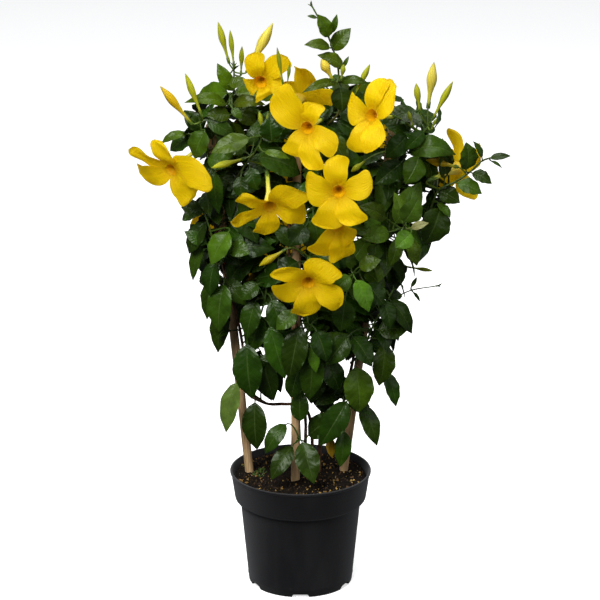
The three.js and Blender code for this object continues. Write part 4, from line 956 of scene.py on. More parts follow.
def add_rule_leaves(grown, number, rule, round_number=0):
    """Leaf pairs by rule: opposite pairs along a stem, each turned a quarter from the last."""
    first_seed, stem_step, round_step = rule.seeds
    draw = draws(first_seed + number * stem_step + round_number * round_step)
    stalk = rule.stalks[round_number]
    low, high = grown.spec.fill
    line, name = grown.line, grown.name
    pairs = max(1, whole(curve_length(line) * (high - low) / rule.spacing))
    first_turn = draw() * 360
    for pair in range(pairs + 1):
        share = low + ((high - low) * pair) / pairs
        root = curve_place(line, share)
        along = curve_tangent(line, share)
        flat = unit(cross(along, RIGHT if abs(along[0]) < 0.8 else BACK))
        raised = cross(flat, along)
        for side in (0, 180):
            length = rule.least + draw() * rule.spread
            slim = 0.48 + draw() * 0.1
            rise = 0.06 + draw() * 0.1
            for turn, droop, size in LEAF_TRIES:
                out = turned(flat, raised, radians(first_turn + pair * 90 + side + turn))
                base = plus(root, unit(plus(out, along, 0.5)), stalk)
                way = unit(plus(plus(out, along, 0.4), DOWN, droop))
                tip = plus(base, way, length * size)
                if not may_stand(base, tip, rule.front):
                    continue
                face = UP if abs(dot(leaf_face(base), way)) > 0.9 else leaf_face(base)
                blade = make_blade(root, base, tip, length * size * slim, rise, face, grown.spec.tone)
                spread = blade_places(blade)
                if any(hides_bloom(place) for place in spread) or not clear_of_canes(spread):
                    continue
                if not is_clear(spread, rule.clearance, None):
                    continue
                if is_clear(petiole_places(blade), PETIOLE_CLEARANCE, name):
                    add_blade(grown, blade)
                    break


for number, grown in enumerate(stems):
    add_rule_leaves(grown, number, LARGE_LEAVES)

# The small leaves. Some have a known place, the others close the crown behind the large ones.
SMALL_KNOWN_LEAVES = {
    "top": [(317, 18, 307, 16, -10, 0, 5), (343, 67, 349, 56, -6, 0, 5)],
    "left_top": [(232, 108, 242, 119, -34, -4, 10, 0.1, "bright")],
    "low_middle": [
        (318, 364, 311, 404, -22, 0, 28), (326, 360, 339, 391, -16, 0, 28), (316, 382, 329, 415, -8, 0, 28),
        (330, 374, 346, 400, -2, 0, 26),
    ],
    "low_right": [(339, 394, 322, 409, 8, 4, 24)],
    "right_thin": [(411, 287, 417, 277, 0, 0, 5), (413, 292, 420, 302, -2, -2, 5)],
    "right_far": [(448, 186, 445, 168, 6, 8, 11)],
}
for grown in stems:
    grown.large_count = len(grown.blades)
    for row in SMALL_KNOWN_LEAVES.get(grown.name, []):
        add_known_leaf(grown, leaf(*row))
vine_growth = {}
for number, (vine, line) in enumerate(VINES.items()):
    spec = Record(fill=VINE_LEAF_FILL, tone="dark")
    vine_growth[vine] = Record(name=vine + " vine", spec=spec, line=line, blades=[])
    for round_number in range(len(VINE_LEAVES.stalks)):
        add_rule_leaves(vine_growth[vine], number, VINE_LEAVES, round_number)
for round_number in range(len(SMALL_LEAVES.stalks)):
    for number, grown in enumerate(stems):
        add_rule_leaves(grown, number, SMALL_LEAVES, round_number)


UNTINTED = (0, 0, 0)
UNMARKED = (0, 0, 0)


class Shape:
    """One piece's mesh while it is made: places in millimetres, each with a tint and with a mark, which says
    how far across and along its leaf, petal or stem it lies, and faces, each with its material's number."""

    def __init__(self):
        self.places, self.tints, self.marks, self.faces, self.slots = [], [], [], [], []

    def add(self, place, tint=UNTINTED, mark=UNMARKED):
        self.places.append(place)
        self.tints.append(tint)
        self.marks.append(mark)
        return len(self.places) - 1

    def face(self, corners, slot):
        distinct = list(dict.fromkeys(corners))
        if len(distinct) > 2:
            self.faces.append(distinct)
            self.slots.append(slot)


def add_sheet(shape, rows, columns, front, back, tint, seed, slots, pointed):
    """A thin closed sheet. Its two sides share their border, and a pointed end is one place."""
    found = {}

    def corner(i, j, behind):
        if i in pointed:
            j, behind = 0, False
        elif i in (0, rows) or j in (0, columns):
            behind = False
        key = (i, j, behind)
        if key not in found:
            t, v = i / rows, 2 * j / columns - 1
            place = (back if behind else front)(t, v)
            found[key] = shape.add(place, tint(t, v, behind), (v, t, seed))
        return found[key]

    for i, j, behind in product(range(rows), range(columns), (False, True)):
        corners = [corner(a, b, behind) for a, b in ((i, j), (i, j + 1), (i + 1, j + 1), (i + 1, j))]
        shape.face(corners[::-1] if behind else corners, slots[behind])


def close_rings(shape, rings, slot):
    sides = len(rings[0])
    for low, high in zip(rings, rings[1:]):
        for k in range(sides):
            following = (k + 1) % sides
            shape.face([low[k], low[following], high[following], high[k]], slot)
    shape.face(rings[0][::-1], slot)
    shape.face(rings[-1], slot)


def add_tube(shape, places, radius_at, sides, tint_at, slot, seed=0.0):
    """A closed rod along a line of places; its radius and tint go by the share of the way along it."""
    normal = (0.31, 0.87, 0.38)
    rings = []
    travelled = 0
    last = len(places) - 1
    for i, place in enumerate(places):
        before = places[max(0, i - 1)]
        along = unit(minus(places[min(last, i + 1)], before))
        normal = unit(plus(normal, along, -dot(normal, along)))
        other = cross(along, normal)
        travelled += distance(before, place)
        radius, tint = radius_at(i / last), tint_at(i / last)
        ring = []
        for k, angle in enumerate(angles(sides)):
            mark = (k / sides, travelled / 100, seed)
            ring.append(shape.add(plus(place, turned(normal, other, angle), radius), tint, mark))
        rings.append(ring)
    close_rings(shape, rings, slot)


def add_turned(shape, stand, profile, sides, tint_at, slot, seed=0.0, ridge=None):
    """A closed solid of revolution on its stand, which is a foot, an axis and two directions square to it.
    The profile gives the way along the axis and the radius of each ring."""
    foot, axis, one, other = stand
    rings = []
    for number, (way, radius) in enumerate(profile):
        centre = plus(foot, axis, way)
        share = number / (len(profile) - 1)
        ring = []
        for k, angle in enumerate(angles(sides)):
            swell = 1 if ridge is None else ridge(share, angle)
            place = plus(centre, turned(one, other, angle), radius * swell)
            ring.append(shape.add(place, tint_at(share), (k / sides, share, seed)))
        rings.append(ring)
    close_rings(shape, rings, slot)


def cross_frame(axis):
    """The axis and two directions square to it."""
    one = unit(cross(axis, (0.2, 0.3, 0.93)))
    return axis, one, cross(axis, one)


def plain(tint):
    return lambda share: tint


def blended(one, other, t):
    return mix(one, other, min(max(t, 0), 1))


def gradient(stops, t):
    """The colour at t of a row of (position, colour) stops."""
    for (low, one), (high, other) in zip(stops, stops[1:]):
        if t <= high:
            return blended(one, other, (t - low) / (high - low))
    return stops[-1][1]


# Colours, as shares of the red, green and blue light that a surface gives back
LEAF_TONES = {
    "dark": (0.0175, 0.0440, 0.0022),
    "mid": (0.037, 0.078, 0.003),
    "bright": (0.050, 0.106, 0.005),
    "young": (0.062, 0.122, 0.009),
    "pale": (0.068, 0.115, 0.018),
    "yellow": (0.560, 0.360, 0.020),
    "blush": (0.230, 0.250, 0.090),
    "olive": (0.036, 0.064, 0.001),
}
STEM_GREEN = (0.045, 0.085, 0.008)
STEM_DARK = (0.040, 0.045, 0.012)
STEM_RED = (0.110, 0.030, 0.014)
STALK_GREEN = (0.085, 0.135, 0.010)
SEPAL_GREEN = (0.065, 0.120, 0.009)
MOSS_GREEN = (0.042, 0.085, 0.006)
PETAL_YELLOW = (0.690, 0.430, 0.0010)
PETAL_BACK = (0.660, 0.410, 0.0025)
PETAL_ORANGE = (0.560, 0.285, 0.0010)
# Painted shade: the throat's orange darkens towards this brown deep in the funnel, where shade falls
THROAT_PAINTED_SHADE = (0.360, 0.140, 0.0010)
TUBE_CREAM = (0.620, 0.520, 0.085)
TUBE_GREEN = (0.360, 0.430, 0.045)
BUD_GREEN = (0.160, 0.210, 0.010)
BUD_LIME = (0.340, 0.350, 0.010)
BUD_GOLD = (0.480, 0.310, 0.002)
BUD_CREAM = (0.610, 0.510, 0.062)
BUD_POINT = (0.200, 0.230, 0.012)

# Vein and rib colours of a leaf's upper side, and its under side's own colours
TOP_VEIN = (0.12, 0.20, 0.05)
TOP_RIB = (0.12, 0.18, 0.05)
UNDER_BLADE = (0.11, 0.21, 0.06)
UNDER_VEIN = (0.16, 0.26, 0.07)
UNDER_RIB = (0.20, 0.30, 0.09)
# The pot's plastic: its two blacks, the dust on it, and a painted sheen, a pale colour mixed in where it is
# seen aslant
POT_BLACK = (0.0075, 0.0076, 0.0085)
POT_STREAK = (0.0125, 0.0125, 0.0135)
POT_DUST = (0.040, 0.035, 0.030)
POT_PAINTED_SHEEN = (0.19, 0.19, 0.195)

LEAF_GRID = (12, 8)
SMALL_LEAF_GRID = (8, 4)
TIP_LEAF_GRID = (6, 4)
BLADE_THICKNESS = 0.5
TIP_LEAF_LENGTH = 9
TIP_LEAVES = 3
PETIOLE_SIDES = 6
STALK_SIDES = 6
STEM_SIDES = 8
LEAF_TOP, LEAF_UNDER, GREEN_STEM, BUD_SKIN = range(4)


def leaf_tint(tone, draw):
    red, green, blue = LEAF_TONES[tone]
    light = 0.6 + 0.9 * draw() ** 2
    warm = 0.85 + 0.4 * draw()
    return (red * light * warm, green * light, blue * light)


def add_leaf(shape, blade, draw, grid):
    """A leaf blade with a channel along its middle rib, a wavy edge and a rib below, on its bent stalk."""
    tint = leaf_tint(blade.tone, draw)
    seed = draw()
    waves = 2.2 + draw() * 1.6
    turn = draw() * FULL_TURN
    twist = (draw() - 0.5) * 0.3

    def front(t, v):
        place, _, normal = blade_frame(blade, t)
        half = blade.wide / 2 * blade_width(t)
        lift = half * (0.3 * abs(v) - 0.2 * v * v)
        lift += half * 0.09 * sin(waves * FULL_TURN * t + turn + (v > 0) * 2.1) * abs(v) ** 1.5
        lift += half * twist * v * t
        return plus(plus(place, blade.side, v * half), normal, lift)

    def back(t, v):
        rib = 0.6 * max(0, 1 - abs(v) / 0.3) * (1 - t)
        return plus(front(t, v), blade_frame(blade, t)[2], -(BLADE_THICKNESS + rib))

    def shade(t, v, behind):
        return times(tint, 1.08 - 0.16 * abs(v))

    add_sheet(shape, *grid, front, back, shade, seed, (LEAF_TOP, LEAF_UNDER), (0, grid[0]))
    add_petiole(shape, blade, tint, seed)


def add_petiole(shape, blade, tint, seed):
    root, base = blade.root, blade.base
    along = blade_frame(blade, 0)[1]
    inside = plus(base, along, 2)
    bend = plus(base, along, -distance(root, base) * 0.4)
    places = [arc_place(root, bend, inside, s) for s in (0, 0.2, 0.4, 0.6, 0.8, 1)]
    tint_at = plain(blended(STEM_GREEN, tint, 0.5))

    def radius_at(share):
        return PETIOLE_RADIUS * (1.2 - 0.4 * share)

    add_tube(shape, places, radius_at, PETIOLE_SIDES, tint_at, GREEN_STEM, seed)


def add_stem(shape, grown, draw):
    """The leafy stem itself: brownish at its root and green at its tip, swelling a little in even waves along
    it.
    """
    count = max(12, whole(curve_length(grown.line) / 4))
    root_tint = blended(STEM_DARK, STEM_RED, draw() * 0.6)

    def tint_at(share):
        return blended(root_tint, STEM_GREEN, share * 1.6)

    def radius_at(share):
        return grown.spec.radius * (1.1 - 0.45 * share) * (1 + 0.06 * sin(share * count * 1.3))

    add_tube(shape, places_along(grown.line, count), radius_at, STEM_SIDES, tint_at, GREEN_STEM, draw())


def add_stalk(shape, root, end, axis, radius):
    """A stalk that leaves the stem and comes in straight behind what it carries."""
    bend = plus(end, axis, -distance(root, end) * 0.35)
    places = [arc_place(root, bend, end, share) for share in shares(8)]

    def radius_at(share):
        return radius * (1.1 - 0.1 * share)

    add_tube(shape, places, radius_at, STALK_SIDES, plain(STALK_GREEN), GREEN_STEM)


def add_tip_leaves(shape, grown, draw):
    """The small young leaves that a stem ends in."""
    end = grown.places[-1]
    along, one, other = cross_frame(unit(minus(end, grown.places[-3])))
    for angle in angles(TIP_LEAVES, draw() * FULL_TURN):
        out = turned(one, other, angle)
        length = TIP_LEAF_LENGTH * (0.6 + 0.5 * draw())
        base = plus(end, along, 1.2)
        tip = plus(plus(base, along, length * 0.85), out, length * 0.5)
        blade = make_blade(end, base, tip, length * 0.32, 0.1, plus(along, out, -1.2), "bright")
        add_leaf(shape, blade, draw, TIP_LEAF_GRID)


# A bud's outline by share of its length and of its half width, and its colour by width
BUD_PROFILE = [
    (0, 0.30), (0.08, 0.34), (0.2, 0.36), (0.32, 0.44), (0.44, 0.68), (0.54, 0.92),
    (0.62, 1), (0.71, 0.94), (0.80, 0.76), (0.88, 0.52), (0.95, 0.26), (1, 0.04),
]
BUD_SIDES = 12
BUD_RIPENING = [(4, BUD_GREEN), (8, BUD_LIME), (10, BUD_GOLD), (12, BUD_CREAM)]
SEPALS = 5
SEPAL_GRID = (4, 2)
SEPAL_THICKNESS = 0.4
BUD_SEPAL_LENGTH = 8
CALYX_SEPAL_LENGTH = 9
CALYX_SIDES = 10


def add_sepals(shape, foot, axis, radius, length, draw):
    """Narrow pointed green leaves that stand round the foot of a bud or a bloom."""
    _, one, other = cross_frame(axis)
    for angle in angles(SEPALS, draw() * FULL_TURN):
        out = turned(one, other, angle)
        around = cross(axis, out)
        reach = length * (0.85 + 0.3 * draw())

        def front(t, v, out=out, around=around, reach=reach):
            half = radius * 0.62 * cos(t * pi / 2) ** 0.7
            bow = radius * (1.0 + 0.35 * t * t)
            place = plus(plus(foot, axis, -0.4 + reach * t), out, bow - 0.25 * half * v * v)
            return plus(place, around, v * half)

        def back(t, v, front=front, out=out):
            return plus(front(t, v), out, -SEPAL_THICKNESS)

        def tint(t, v, behind):
            return SEPAL_GREEN

        slots = (GREEN_STEM, GREEN_STEM)
        add_sheet(shape, *SEPAL_GRID, front, back, tint, draw(), slots, (SEPAL_GRID[0],))


def add_bud(shape, grown_bud, draw):
    """A bud: a thin tube that swells and is rolled to a point, in its green sepals, on its stalk."""
    base, wide = grown_bud.base, grown_bud.wide
    run = minus(grown_bud.tip, base)
    length = size_of(run)
    axis = unit(run)
    middle = times(gradient(BUD_RIPENING, wide), 0.9 + 0.2 * draw())
    point = blended(BUD_POINT, middle, 0.5)
    foot = blended(TUBE_GREEN, middle, 0.35)
    stops = [(0, SEPAL_GREEN), (0.14, foot), (0.36, middle), (0.8, middle), (1, point)]

    def tint_at(share):
        return gradient(stops, share)

    def ridge(share, angle):
        return 1 + 0.09 * smoothly(share * 2 - 0.4) * cos(3 * angle + 7 * share)

    profile = [(way * length, radius * wide / 2) for way, radius in BUD_PROFILE]
    add_turned(shape, (base, *cross_frame(axis)), profile, BUD_SIDES, tint_at, BUD_SKIN, draw(), ridge)
    add_sepals(shape, base, axis, wide * 0.17 + 0.3, min(BUD_SEPAL_LENGTH, length * 0.16), draw)
    add_stalk(shape, grown_bud.root, plus(base, axis, 1), axis, BUD_STALK_RADIUS)


def add_calyx(shape, flower, draw):
    front, foot = flower.front, flower.stalk_end
    profile = [
        (-1, STALK_RADIUS), (1, STALK_RADIUS * 1.25), (4, CALYX_RADIUS * 0.82), (7.5, CALYX_RADIUS),
        (CALYX_LENGTH, CALYX_RADIUS * 0.9),
    ]
    stand = (foot, *cross_frame(front))
    add_turned(shape, stand, profile, CALYX_SIDES, plain(SEPAL_GREEN), GREEN_STEM, draw())
    add_sepals(shape, plus(foot, front, CALYX_LENGTH - 2), front, CALYX_RADIUS, CALYX_SEPAL_LENGTH, draw)
    add_stalk(shape, flower.root, plus(foot, front, 1), front, STALK_RADIUS)


PETAL_THICKNESS = 0.6
PETAL_ROWS = 14
PETAL_COLUMNS = 12
PETAL_FRONT, PETAL_REAR = range(2)
PETAL_STOPS = [
    (0, PETAL_ORANGE),
    (0.12, blended(PETAL_ORANGE, PETAL_YELLOW, 0.55)),
    (0.32, PETAL_YELLOW),
    (1, PETAL_YELLOW),
]
# How far the corner of a lobe stands out sideways, by its half width, and outwards, by its reach
CORNER_OUT = 0.16
CORNER_UP = 0.055
MOUTH_SIDES = 30
MOUTH_IN = 7.4
MOUTH_DEPTH = 8
FLARE = 0.42


def add_lobe(shape, flower, number, draw):
    """One petal lobe: it leaves the funnel's mouth in a flare, with its tip drawn to one corner."""
    lobe, front, reach = flower.lobes[number], flower.front, flower.lobes[number].reach
    before = (flower.lobes[number - 1].angle - (0 if number else FULL_TURN) - lobe.angle) / 2
    last = number == LOBES - 1
    after = (flower.lobes[(number + 1) % LOBES].angle + (FULL_TURN if last else 0) - lobe.angle) / 2
    bend = (draw() - 0.5) * 0.16
    turn = draw() * FULL_TURN
    wave = 0.03 + draw() * 0.03
    way = copysign(1, lobe.lean)
    corner = way * (0.03 + draw() * 0.06)

    def face(q, v):
        spread = turned(lobe.out, lobe.across, 1.04 * (v * after if v > 0 else -v * before))
        ring = plus(flower.mouth, spread, MOUTH_IN + (reach - MOUTH_IN) * q)
        late = max(0, (q - 0.55) / 0.45)
        place = plus(lobe_place(flower, lobe, q, v), lobe.across, corner * reach * late**1.5)
        bulge = 4 * late * (1 - late) * max(0, v * way) ** 2
        place = plus(place, lobe.across, CORNER_OUT * way * lobe.half * bulge)
        place = plus(place, lobe.out, CORNER_UP * reach * bulge)
        place = mix(ring, place, smoothly(q / FLARE))
        depth = -MOUTH_DEPTH * max(0, 1 - q / FLARE) ** 2
        ruffle = reach * wave * sin(FULL_TURN * (1.1 * q + 0.35 * v) + turn) * q * (0.35 + abs(v))
        fold = -0.03 * reach * (1 - abs(v)) * sin(pi * min(q * 1.15, 1))
        return plus(place, front, depth + ruffle + fold + bend * reach * q * q)

    def rear(q, v):
        return plus(face(q, v), front, -PETAL_THICKNESS)

    shade = 0.96 + 0.08 * draw()

    def tint(q, v, behind):
        if behind:
            return times(PETAL_BACK, shade)
        edge = 1 - 0.05 * smoothly(q) * abs(v)
        return times(gradient(PETAL_STOPS, q + 0.05 * abs(v)), shade * edge)

    slots = (PETAL_FRONT, PETAL_REAR)
    add_sheet(shape, PETAL_ROWS, PETAL_COLUMNS, face, rear, tint, draw(), slots, (PETAL_ROWS,))


def add_funnel(shape, flower, draw):
    """The bloom's tube: narrow at its foot, then a bell that opens to the mouth, with the throat inside."""
    tube = flower.tube
    bell = min(30, tube * 0.55)
    outer = [(-tube, TUBE_RADIUS), (-(tube + bell * 2) / 3, TUBE_RADIUS * 1.12)]
    inner = []
    for share in shares(8):
        radius = 2.9 + (MOUTH_IN + 0.7 - 2.9) * share**1.15
        outer.append((-bell + (bell - MOUTH_DEPTH) * share, radius))
        inner.append((-bell * 0.62 + (bell * 0.62 - MOUTH_DEPTH + 0.5) * share, max(0.3, radius - 0.8)))
    profile = outer + inner[::-1]
    turning_point = len(outer) / (len(profile) - 1)

    def tint_at(share):
        if share < turning_point:
            foot = [(0, TUBE_GREEN), (0.08, TUBE_CREAM), (turning_point * 0.45, TUBE_CREAM)]
            return gradient([*foot, (turning_point, PETAL_BACK)], share)
        # Inside is the throat's own orange, darkened by painted shade towards the funnel's depth
        depth = (share - turning_point) / (1 - turning_point)
        return gradient([(0, PETAL_ORANGE), (0.45, PETAL_ORANGE), (1, THROAT_PAINTED_SHADE)], depth)

    stand = (flower.mouth, flower.front, flower.up, flower.right)
    add_turned(shape, stand, profile, MOUTH_SIDES, tint_at, PETAL_FRONT, draw())


def add_bloom(shape, flower, draw):
    add_funnel(shape, flower, draw)
    for number in range(LOBES):
        add_lobe(shape, flower, number, draw)


def add_object(name, data):
    made = bpy.data.objects.new(name, data)
    bpy.context.scene.collection.objects.link(made)
    return made


def make_smooth(mesh, sharp):
    mesh.polygons.foreach_set("use_smooth", [True] * len(mesh.polygons))
    mesh.set_sharp_from_angle(angle=radians(sharp))


def make_piece(name, shape, materials, node=None, sharp=50):
    """Turns a shape into a smooth object in metres that rides on the frame, and takes a solid's place."""
    mesh = bpy.data.meshes.new(name)
    mesh.from_pydata([times(place, MM) for place in shape.places], [], shape.faces)
    mesh.polygons.foreach_set("material_index", shape.slots)
    tints = mesh.attributes.new("tint", "FLOAT_COLOR", "POINT")
    tints.data.foreach_set("color", [n for tint in shape.tints for n in (*tint, 1)])
    marks = mesh.attributes.new("mark", "FLOAT_VECTOR", "POINT")
    marks.data.foreach_set("vector", [n for mark in shape.marks for n in mark])
    mesh.update()
    make_smooth(mesh, sharp)
    for material in materials:
        mesh.materials.append(material)
    piece = add_object(name, mesh)
    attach(piece, "root")
    if node:
        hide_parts(node)
    return piece


# Materials
class Nodes:
    """A node tree while it is made. Each input is a number, a colour or another node's output."""

    def __init__(self, tree):
        self.tree = tree

    def add(self, kind, inputs, **settings):
        made = self.tree.nodes.new("ShaderNode" + kind)
        for name, value in settings.items():
            setattr(made, name, value)
        for name, value in inputs.items():
            self.give(made.inputs[name], value)
        return made.outputs

    def give(self, socket, value):
        if isinstance(value, bpy.types.NodeSocket):
            self.tree.links.new(value, socket)
        elif socket.type == "RGBA":
            socket.default_value = (*value, 1)
        else:
            socket.default_value = value

    def maths(self, operation, a, b=0.0):
        return self.add("Math", {0: a, 1: b}, operation=operation)[0]

    def part(self, value, amount):
        return self.maths("MULTIPLY", value, amount)

    def ramp(self, value, low, high, first=0, last=1):
        inputs = {"Value": value, "From Min": low, "From Max": high, "To Min": first, "To Max": last}
        return self.add("MapRange", inputs)[0]

    def mix(self, amount, one, other):
        return self.add("Mix", {0: amount, 6: one, 7: other}, data_type="RGBA")[2]

    def scaled(self, colour, amount):
        return self.add("VectorMath", {0: colour, "Scale": amount}, operation="SCALE")[0]

    def noise(self, scale, detail, stretch=(1, 1, 1), vector=None):
        source = vector or self.add("TexCoord", {})["Object"]
        placed = self.add("Mapping", {"Vector": source, "Scale": stretch})[0]
        return self.add("TexNoise", {"Vector": placed, "Scale": scale, "Detail": detail})[0]

    def attribute(self, name, output):
        return self.add("Attribute", {}, attribute_name=name)[output]

    def tint(self):
        return self.attribute("tint", "Color")

    def marks(self):
        made = self.add("SeparateXYZ", {"Vector": self.attribute("mark", "Vector")})
        return made[0], made[1], made[2]

    def veins(self):
        """The middle rib and the side veins of a leaf, each as a share from 0 to 1."""
        across, along, seed = self.marks()
        out = self.maths("ABSOLUTE", across)
        phase = self.maths("SUBTRACT", self.part(along, 8.0), self.part(out, 1.5))
        nearby = self.maths("PINGPONG", self.maths("ADD", phase, seed), 0.5)
        return self.ramp(out, 0.02, 0.08, 1, 0), self.ramp(nearby, 0.0, 0.1, 1, 0), nearby


class Material(Nodes):
    """A material while it is made: its shader's own settings first, then what finish links to it."""

    def __init__(self, name, roughness, specular, **more):
        self.material = bpy.data.materials.new(name)
        self.material.use_nodes = True
        super().__init__(self.material.node_tree)
        self.shader = self.tree.nodes["Principled BSDF"]
        settings = {"Roughness": roughness, "Specular IOR Level": specular}
        for setting, value in {**settings, **more}.items():
            self.give(self.shader.inputs[setting.replace("_", " ")], value)

    def finish(self, colour, height, depth, **more):
        """Links a colour, a relief of some depth in metres, and whatever else varies."""
        normal = self.add("Bump", {"Height": height, "Strength": 1.0, "Distance": depth})[0]
        for name, value in {"Base Color": colour, "Normal": normal, **more}.items():
            self.give(self.shader.inputs[name.replace("_", " ")], value)
        return self.material


def leaf_top_material():
    made = Material("leaf_top", 0.32, 0.16, Specular_Tint=(0.9, 1, 0.8))
    rib, veins, quilt = made.veins()
    colour = made.scaled(made.tint(), made.ramp(made.noise(70, 3), 0.3, 0.7, 0.72, 1.28))
    colour = made.mix(made.part(veins, 0.05), colour, TOP_VEIN)
    colour = made.mix(made.part(rib, 0.2), colour, TOP_RIB)
    relief = made.maths("ADD", made.part(quilt, 0.35), made.noise(110, 3))
    relief = made.maths("SUBTRACT", relief, made.part(rib, 0.5))
    gloss = made.ramp(made.noise(180, 3), 0.3, 0.7, 0.2, 0.38)
    return made.finish(colour, relief, 0.0007, Roughness=gloss)


def leaf_under_material():
    made = Material("leaf_under", 0.6, 0.2)
    rib, veins, _ = made.veins()
    colour = made.mix(0.22, made.tint(), UNDER_BLADE)
    colour = made.scaled(colour, made.ramp(made.noise(90, 3), 0.3, 0.7, 0.85, 1.15))
    colour = made.mix(made.part(rib, 0.5), colour, UNDER_RIB)
    colour = made.mix(made.part(veins, 0.2), colour, UNDER_VEIN)
    return made.finish(colour, made.maths("ADD", rib, made.part(veins, 0.5)), 0.0005)


def tinted_material(name, roughness, specular, grain, light, depth):
    """A material in its piece's own tints, darker and lighter by a fine grain."""
    made = Material(name, roughness, specular)
    fibres = made.noise(*grain)
    return made.finish(made.scaled(made.tint(), made.ramp(fibres, 0.3, 0.7, *light)), fibres, depth)


# Painted light: the petals and throat glow by emission in their own colour, which lightens their shaded sides
# as though light passed through the thin petals
PETAL_PAINTED_GLOW = 0.12


def thin_material(name, roughness, specular, weight, radius, **more):
    light = {"Subsurface_Weight": weight, "Subsurface_Radius": radius, "Subsurface_Scale": 1.0}
    return Material(name, roughness, specular, **light, **more)


def bud_material():
    made = thin_material("bud_skin", 0.42, 0.2, 0.15, (0.004, 0.003, 0.001))
    around, along, _ = made.marks()
    lines = made.maths("PINGPONG", made.maths("ADD", made.part(around, 10.0), made.part(along, 6.0)), 0.5)
    return made.finish(made.scaled(made.tint(), made.ramp(lines, 0.0, 0.5, 0.9, 1.08)), lines, 0.0004)


def petal_material(name, roughness):
    # The emission is a painted glow in the petal colour: the petals give off light though they are no lamp
    made = thin_material(name, roughness, 0.1, 0.35, (0.006, 0.004, 0.001), Emission_Strength=PETAL_PAINTED_GLOW)
    across, along, seed = made.marks()
    place = made.add("CombineXYZ", {0: across, 1: along, 2: seed})[0]
    rays = made.noise(3.0, 3, (7, 0.7, 40), place)
    colour = made.scaled(made.tint(), made.ramp(rays, 0.25, 0.75, 0.93, 1.05))
    relief = made.maths("ADD", rays, made.part(made.noise(700, 2), 0.15))
    return made.finish(colour, relief, 0.0009, Emission_Color=colour)


def grained_material(name, roughness, specular, grain, tones, stains, relief, depth):
    """A material of two tones by a fine grain. Each stain is a noise, where it starts and is full, how much
    it covers there, and its colour. The relief adds up those noises that it names by number."""
    made = Material(name, roughness, specular)
    low, high, *noise_values = grain
    noises = [made.noise(*noise_values)]
    colour = made.mix(made.ramp(noises[0], low, high), *tones)
    for noise_values, start, full, cover, stain in stains:
        noises.append(made.noise(*noise_values))
        colour = made.mix(made.ramp(noises[-1], start, full, 0, cover), colour, stain)
    height = noises[relief[0]]
    for number in relief[1:]:
        height = made.maths("ADD", height, noises[number])
    return made.finish(colour, height, depth)


def bark_material():
    tones = ((0.030, 0.014, 0.008), (0.135, 0.060, 0.030))
    stains = [((60, 3), 0.45, 0.7, 0.5, (0.190, 0.070, 0.038))]
    return grained_material("bark", 0.72, 0.3, (0.35, 0.65, 500, 5, (1, 1, 0.3)), tones, stains, (0,), 0.0006)


def cane_material():
    tones = ((0.350, 0.215, 0.100), (0.640, 0.430, 0.220))
    stains = [
        ((35, 4, (1, 1, 0.35)), 0.45, 0.72, 0.5, (0.270, 0.160, 0.072)),
        ((260, 3, (1, 1, 0.25)), 0.62, 0.74, 0.6, (0.095, 0.048, 0.024)),
    ]
    grain = (0.3, 0.7, 900, 5, (1, 1, 0.04))
    return grained_material("cane_wood", 0.62, 0.35, grain, tones, stains, (0, 2), 0.0005)


def peat_material():
    tones = ((0.0016, 0.0011, 0.0007), (0.013, 0.0080, 0.0036))
    stains = [((110, 4), 0.55, 0.75, 0.5, (0.032, 0.019, 0.007))]
    return grained_material("peat", 0.95, 0.15, (0.35, 0.68, 420, 6), tones, stains, (0, 1), 0.003)


def pot_material():
    made = Material("pot_plastic", 0.42, 0.28)
    streaks = made.noise(40, 4, (1, 1, 0.25))
    colour = made.mix(made.ramp(streaks, 0.4, 0.7), POT_BLACK, POT_STREAK)
    dust = made.ramp(made.noise(130, 5), 0.66, 0.82, 0, 0.25)
    colour = made.mix(dust, colour, POT_DUST)
    # Painted sheen: a pale colour mixed into the base colour where the surface is seen aslant, standing in for
    # reflections
    edge = made.maths("POWER", made.add("LayerWeight", {"Blend": 0.5})["Facing"], 2.4)
    colour = made.mix(edge, colour, POT_PAINTED_SHEEN)
    gloss = made.ramp(streaks, 0.3, 0.7, 0.36, 0.5)
    return made.finish(colour, made.noise(1800, 3), 0.00012, Roughness=gloss)


foliage_materials = [
    leaf_top_material(),
    leaf_under_material(),
    tinted_material("green_stem", 0.45, 0.4, (300, 3), (0.7, 1.3), 0.0003),
    bud_material(),
]
petal_materials = [petal_material("petal_front", 0.5), petal_material("petal_back", 0.6)]

# The plant
for number, grown in enumerate(stems):
    draw = draws(1301 + number * 91)
    shape = Shape()
    add_stem(shape, grown, draw)
    for blade in grown.blades[: grown.large_count]:
        add_leaf(shape, blade, draw, LEAF_GRID)
    for grown_bud in grown.buds:
        add_bud(shape, grown_bud, draw)
    for flower in grown.flowers:
        add_calyx(shape, flower, draw)
    add_tip_leaves(shape, grown, draw)
    make_piece("foliage_" + grown.name, shape, foliage_materials, "leafy_stem_" + grown.name)
    for flower in grown.flowers:
        petals = Shape()
        add_bloom(petals, flower, draws(2203 + len(flower.name) * 31 + number * 17))
        make_piece("flower_" + flower.name, petals, petal_materials, "bloom_" + flower.name)

for vine in VINES:
    shape = Shape()
    for number, grown in enumerate(stems):
        if grown.spec.vine == vine:
            draw = draws(5003 + number * 37)
            for blade in grown.blades[grown.large_count :]:
                add_leaf(shape, blade, draw, SMALL_LEAF_GRID)
    draw = draws(5501 + len(vine))
    for blade in vine_growth[vine].blades:
        add_leaf(shape, blade, draw, SMALL_LEAF_GRID)
    make_piece("small_leaves_" + vine, shape, foliage_materials)

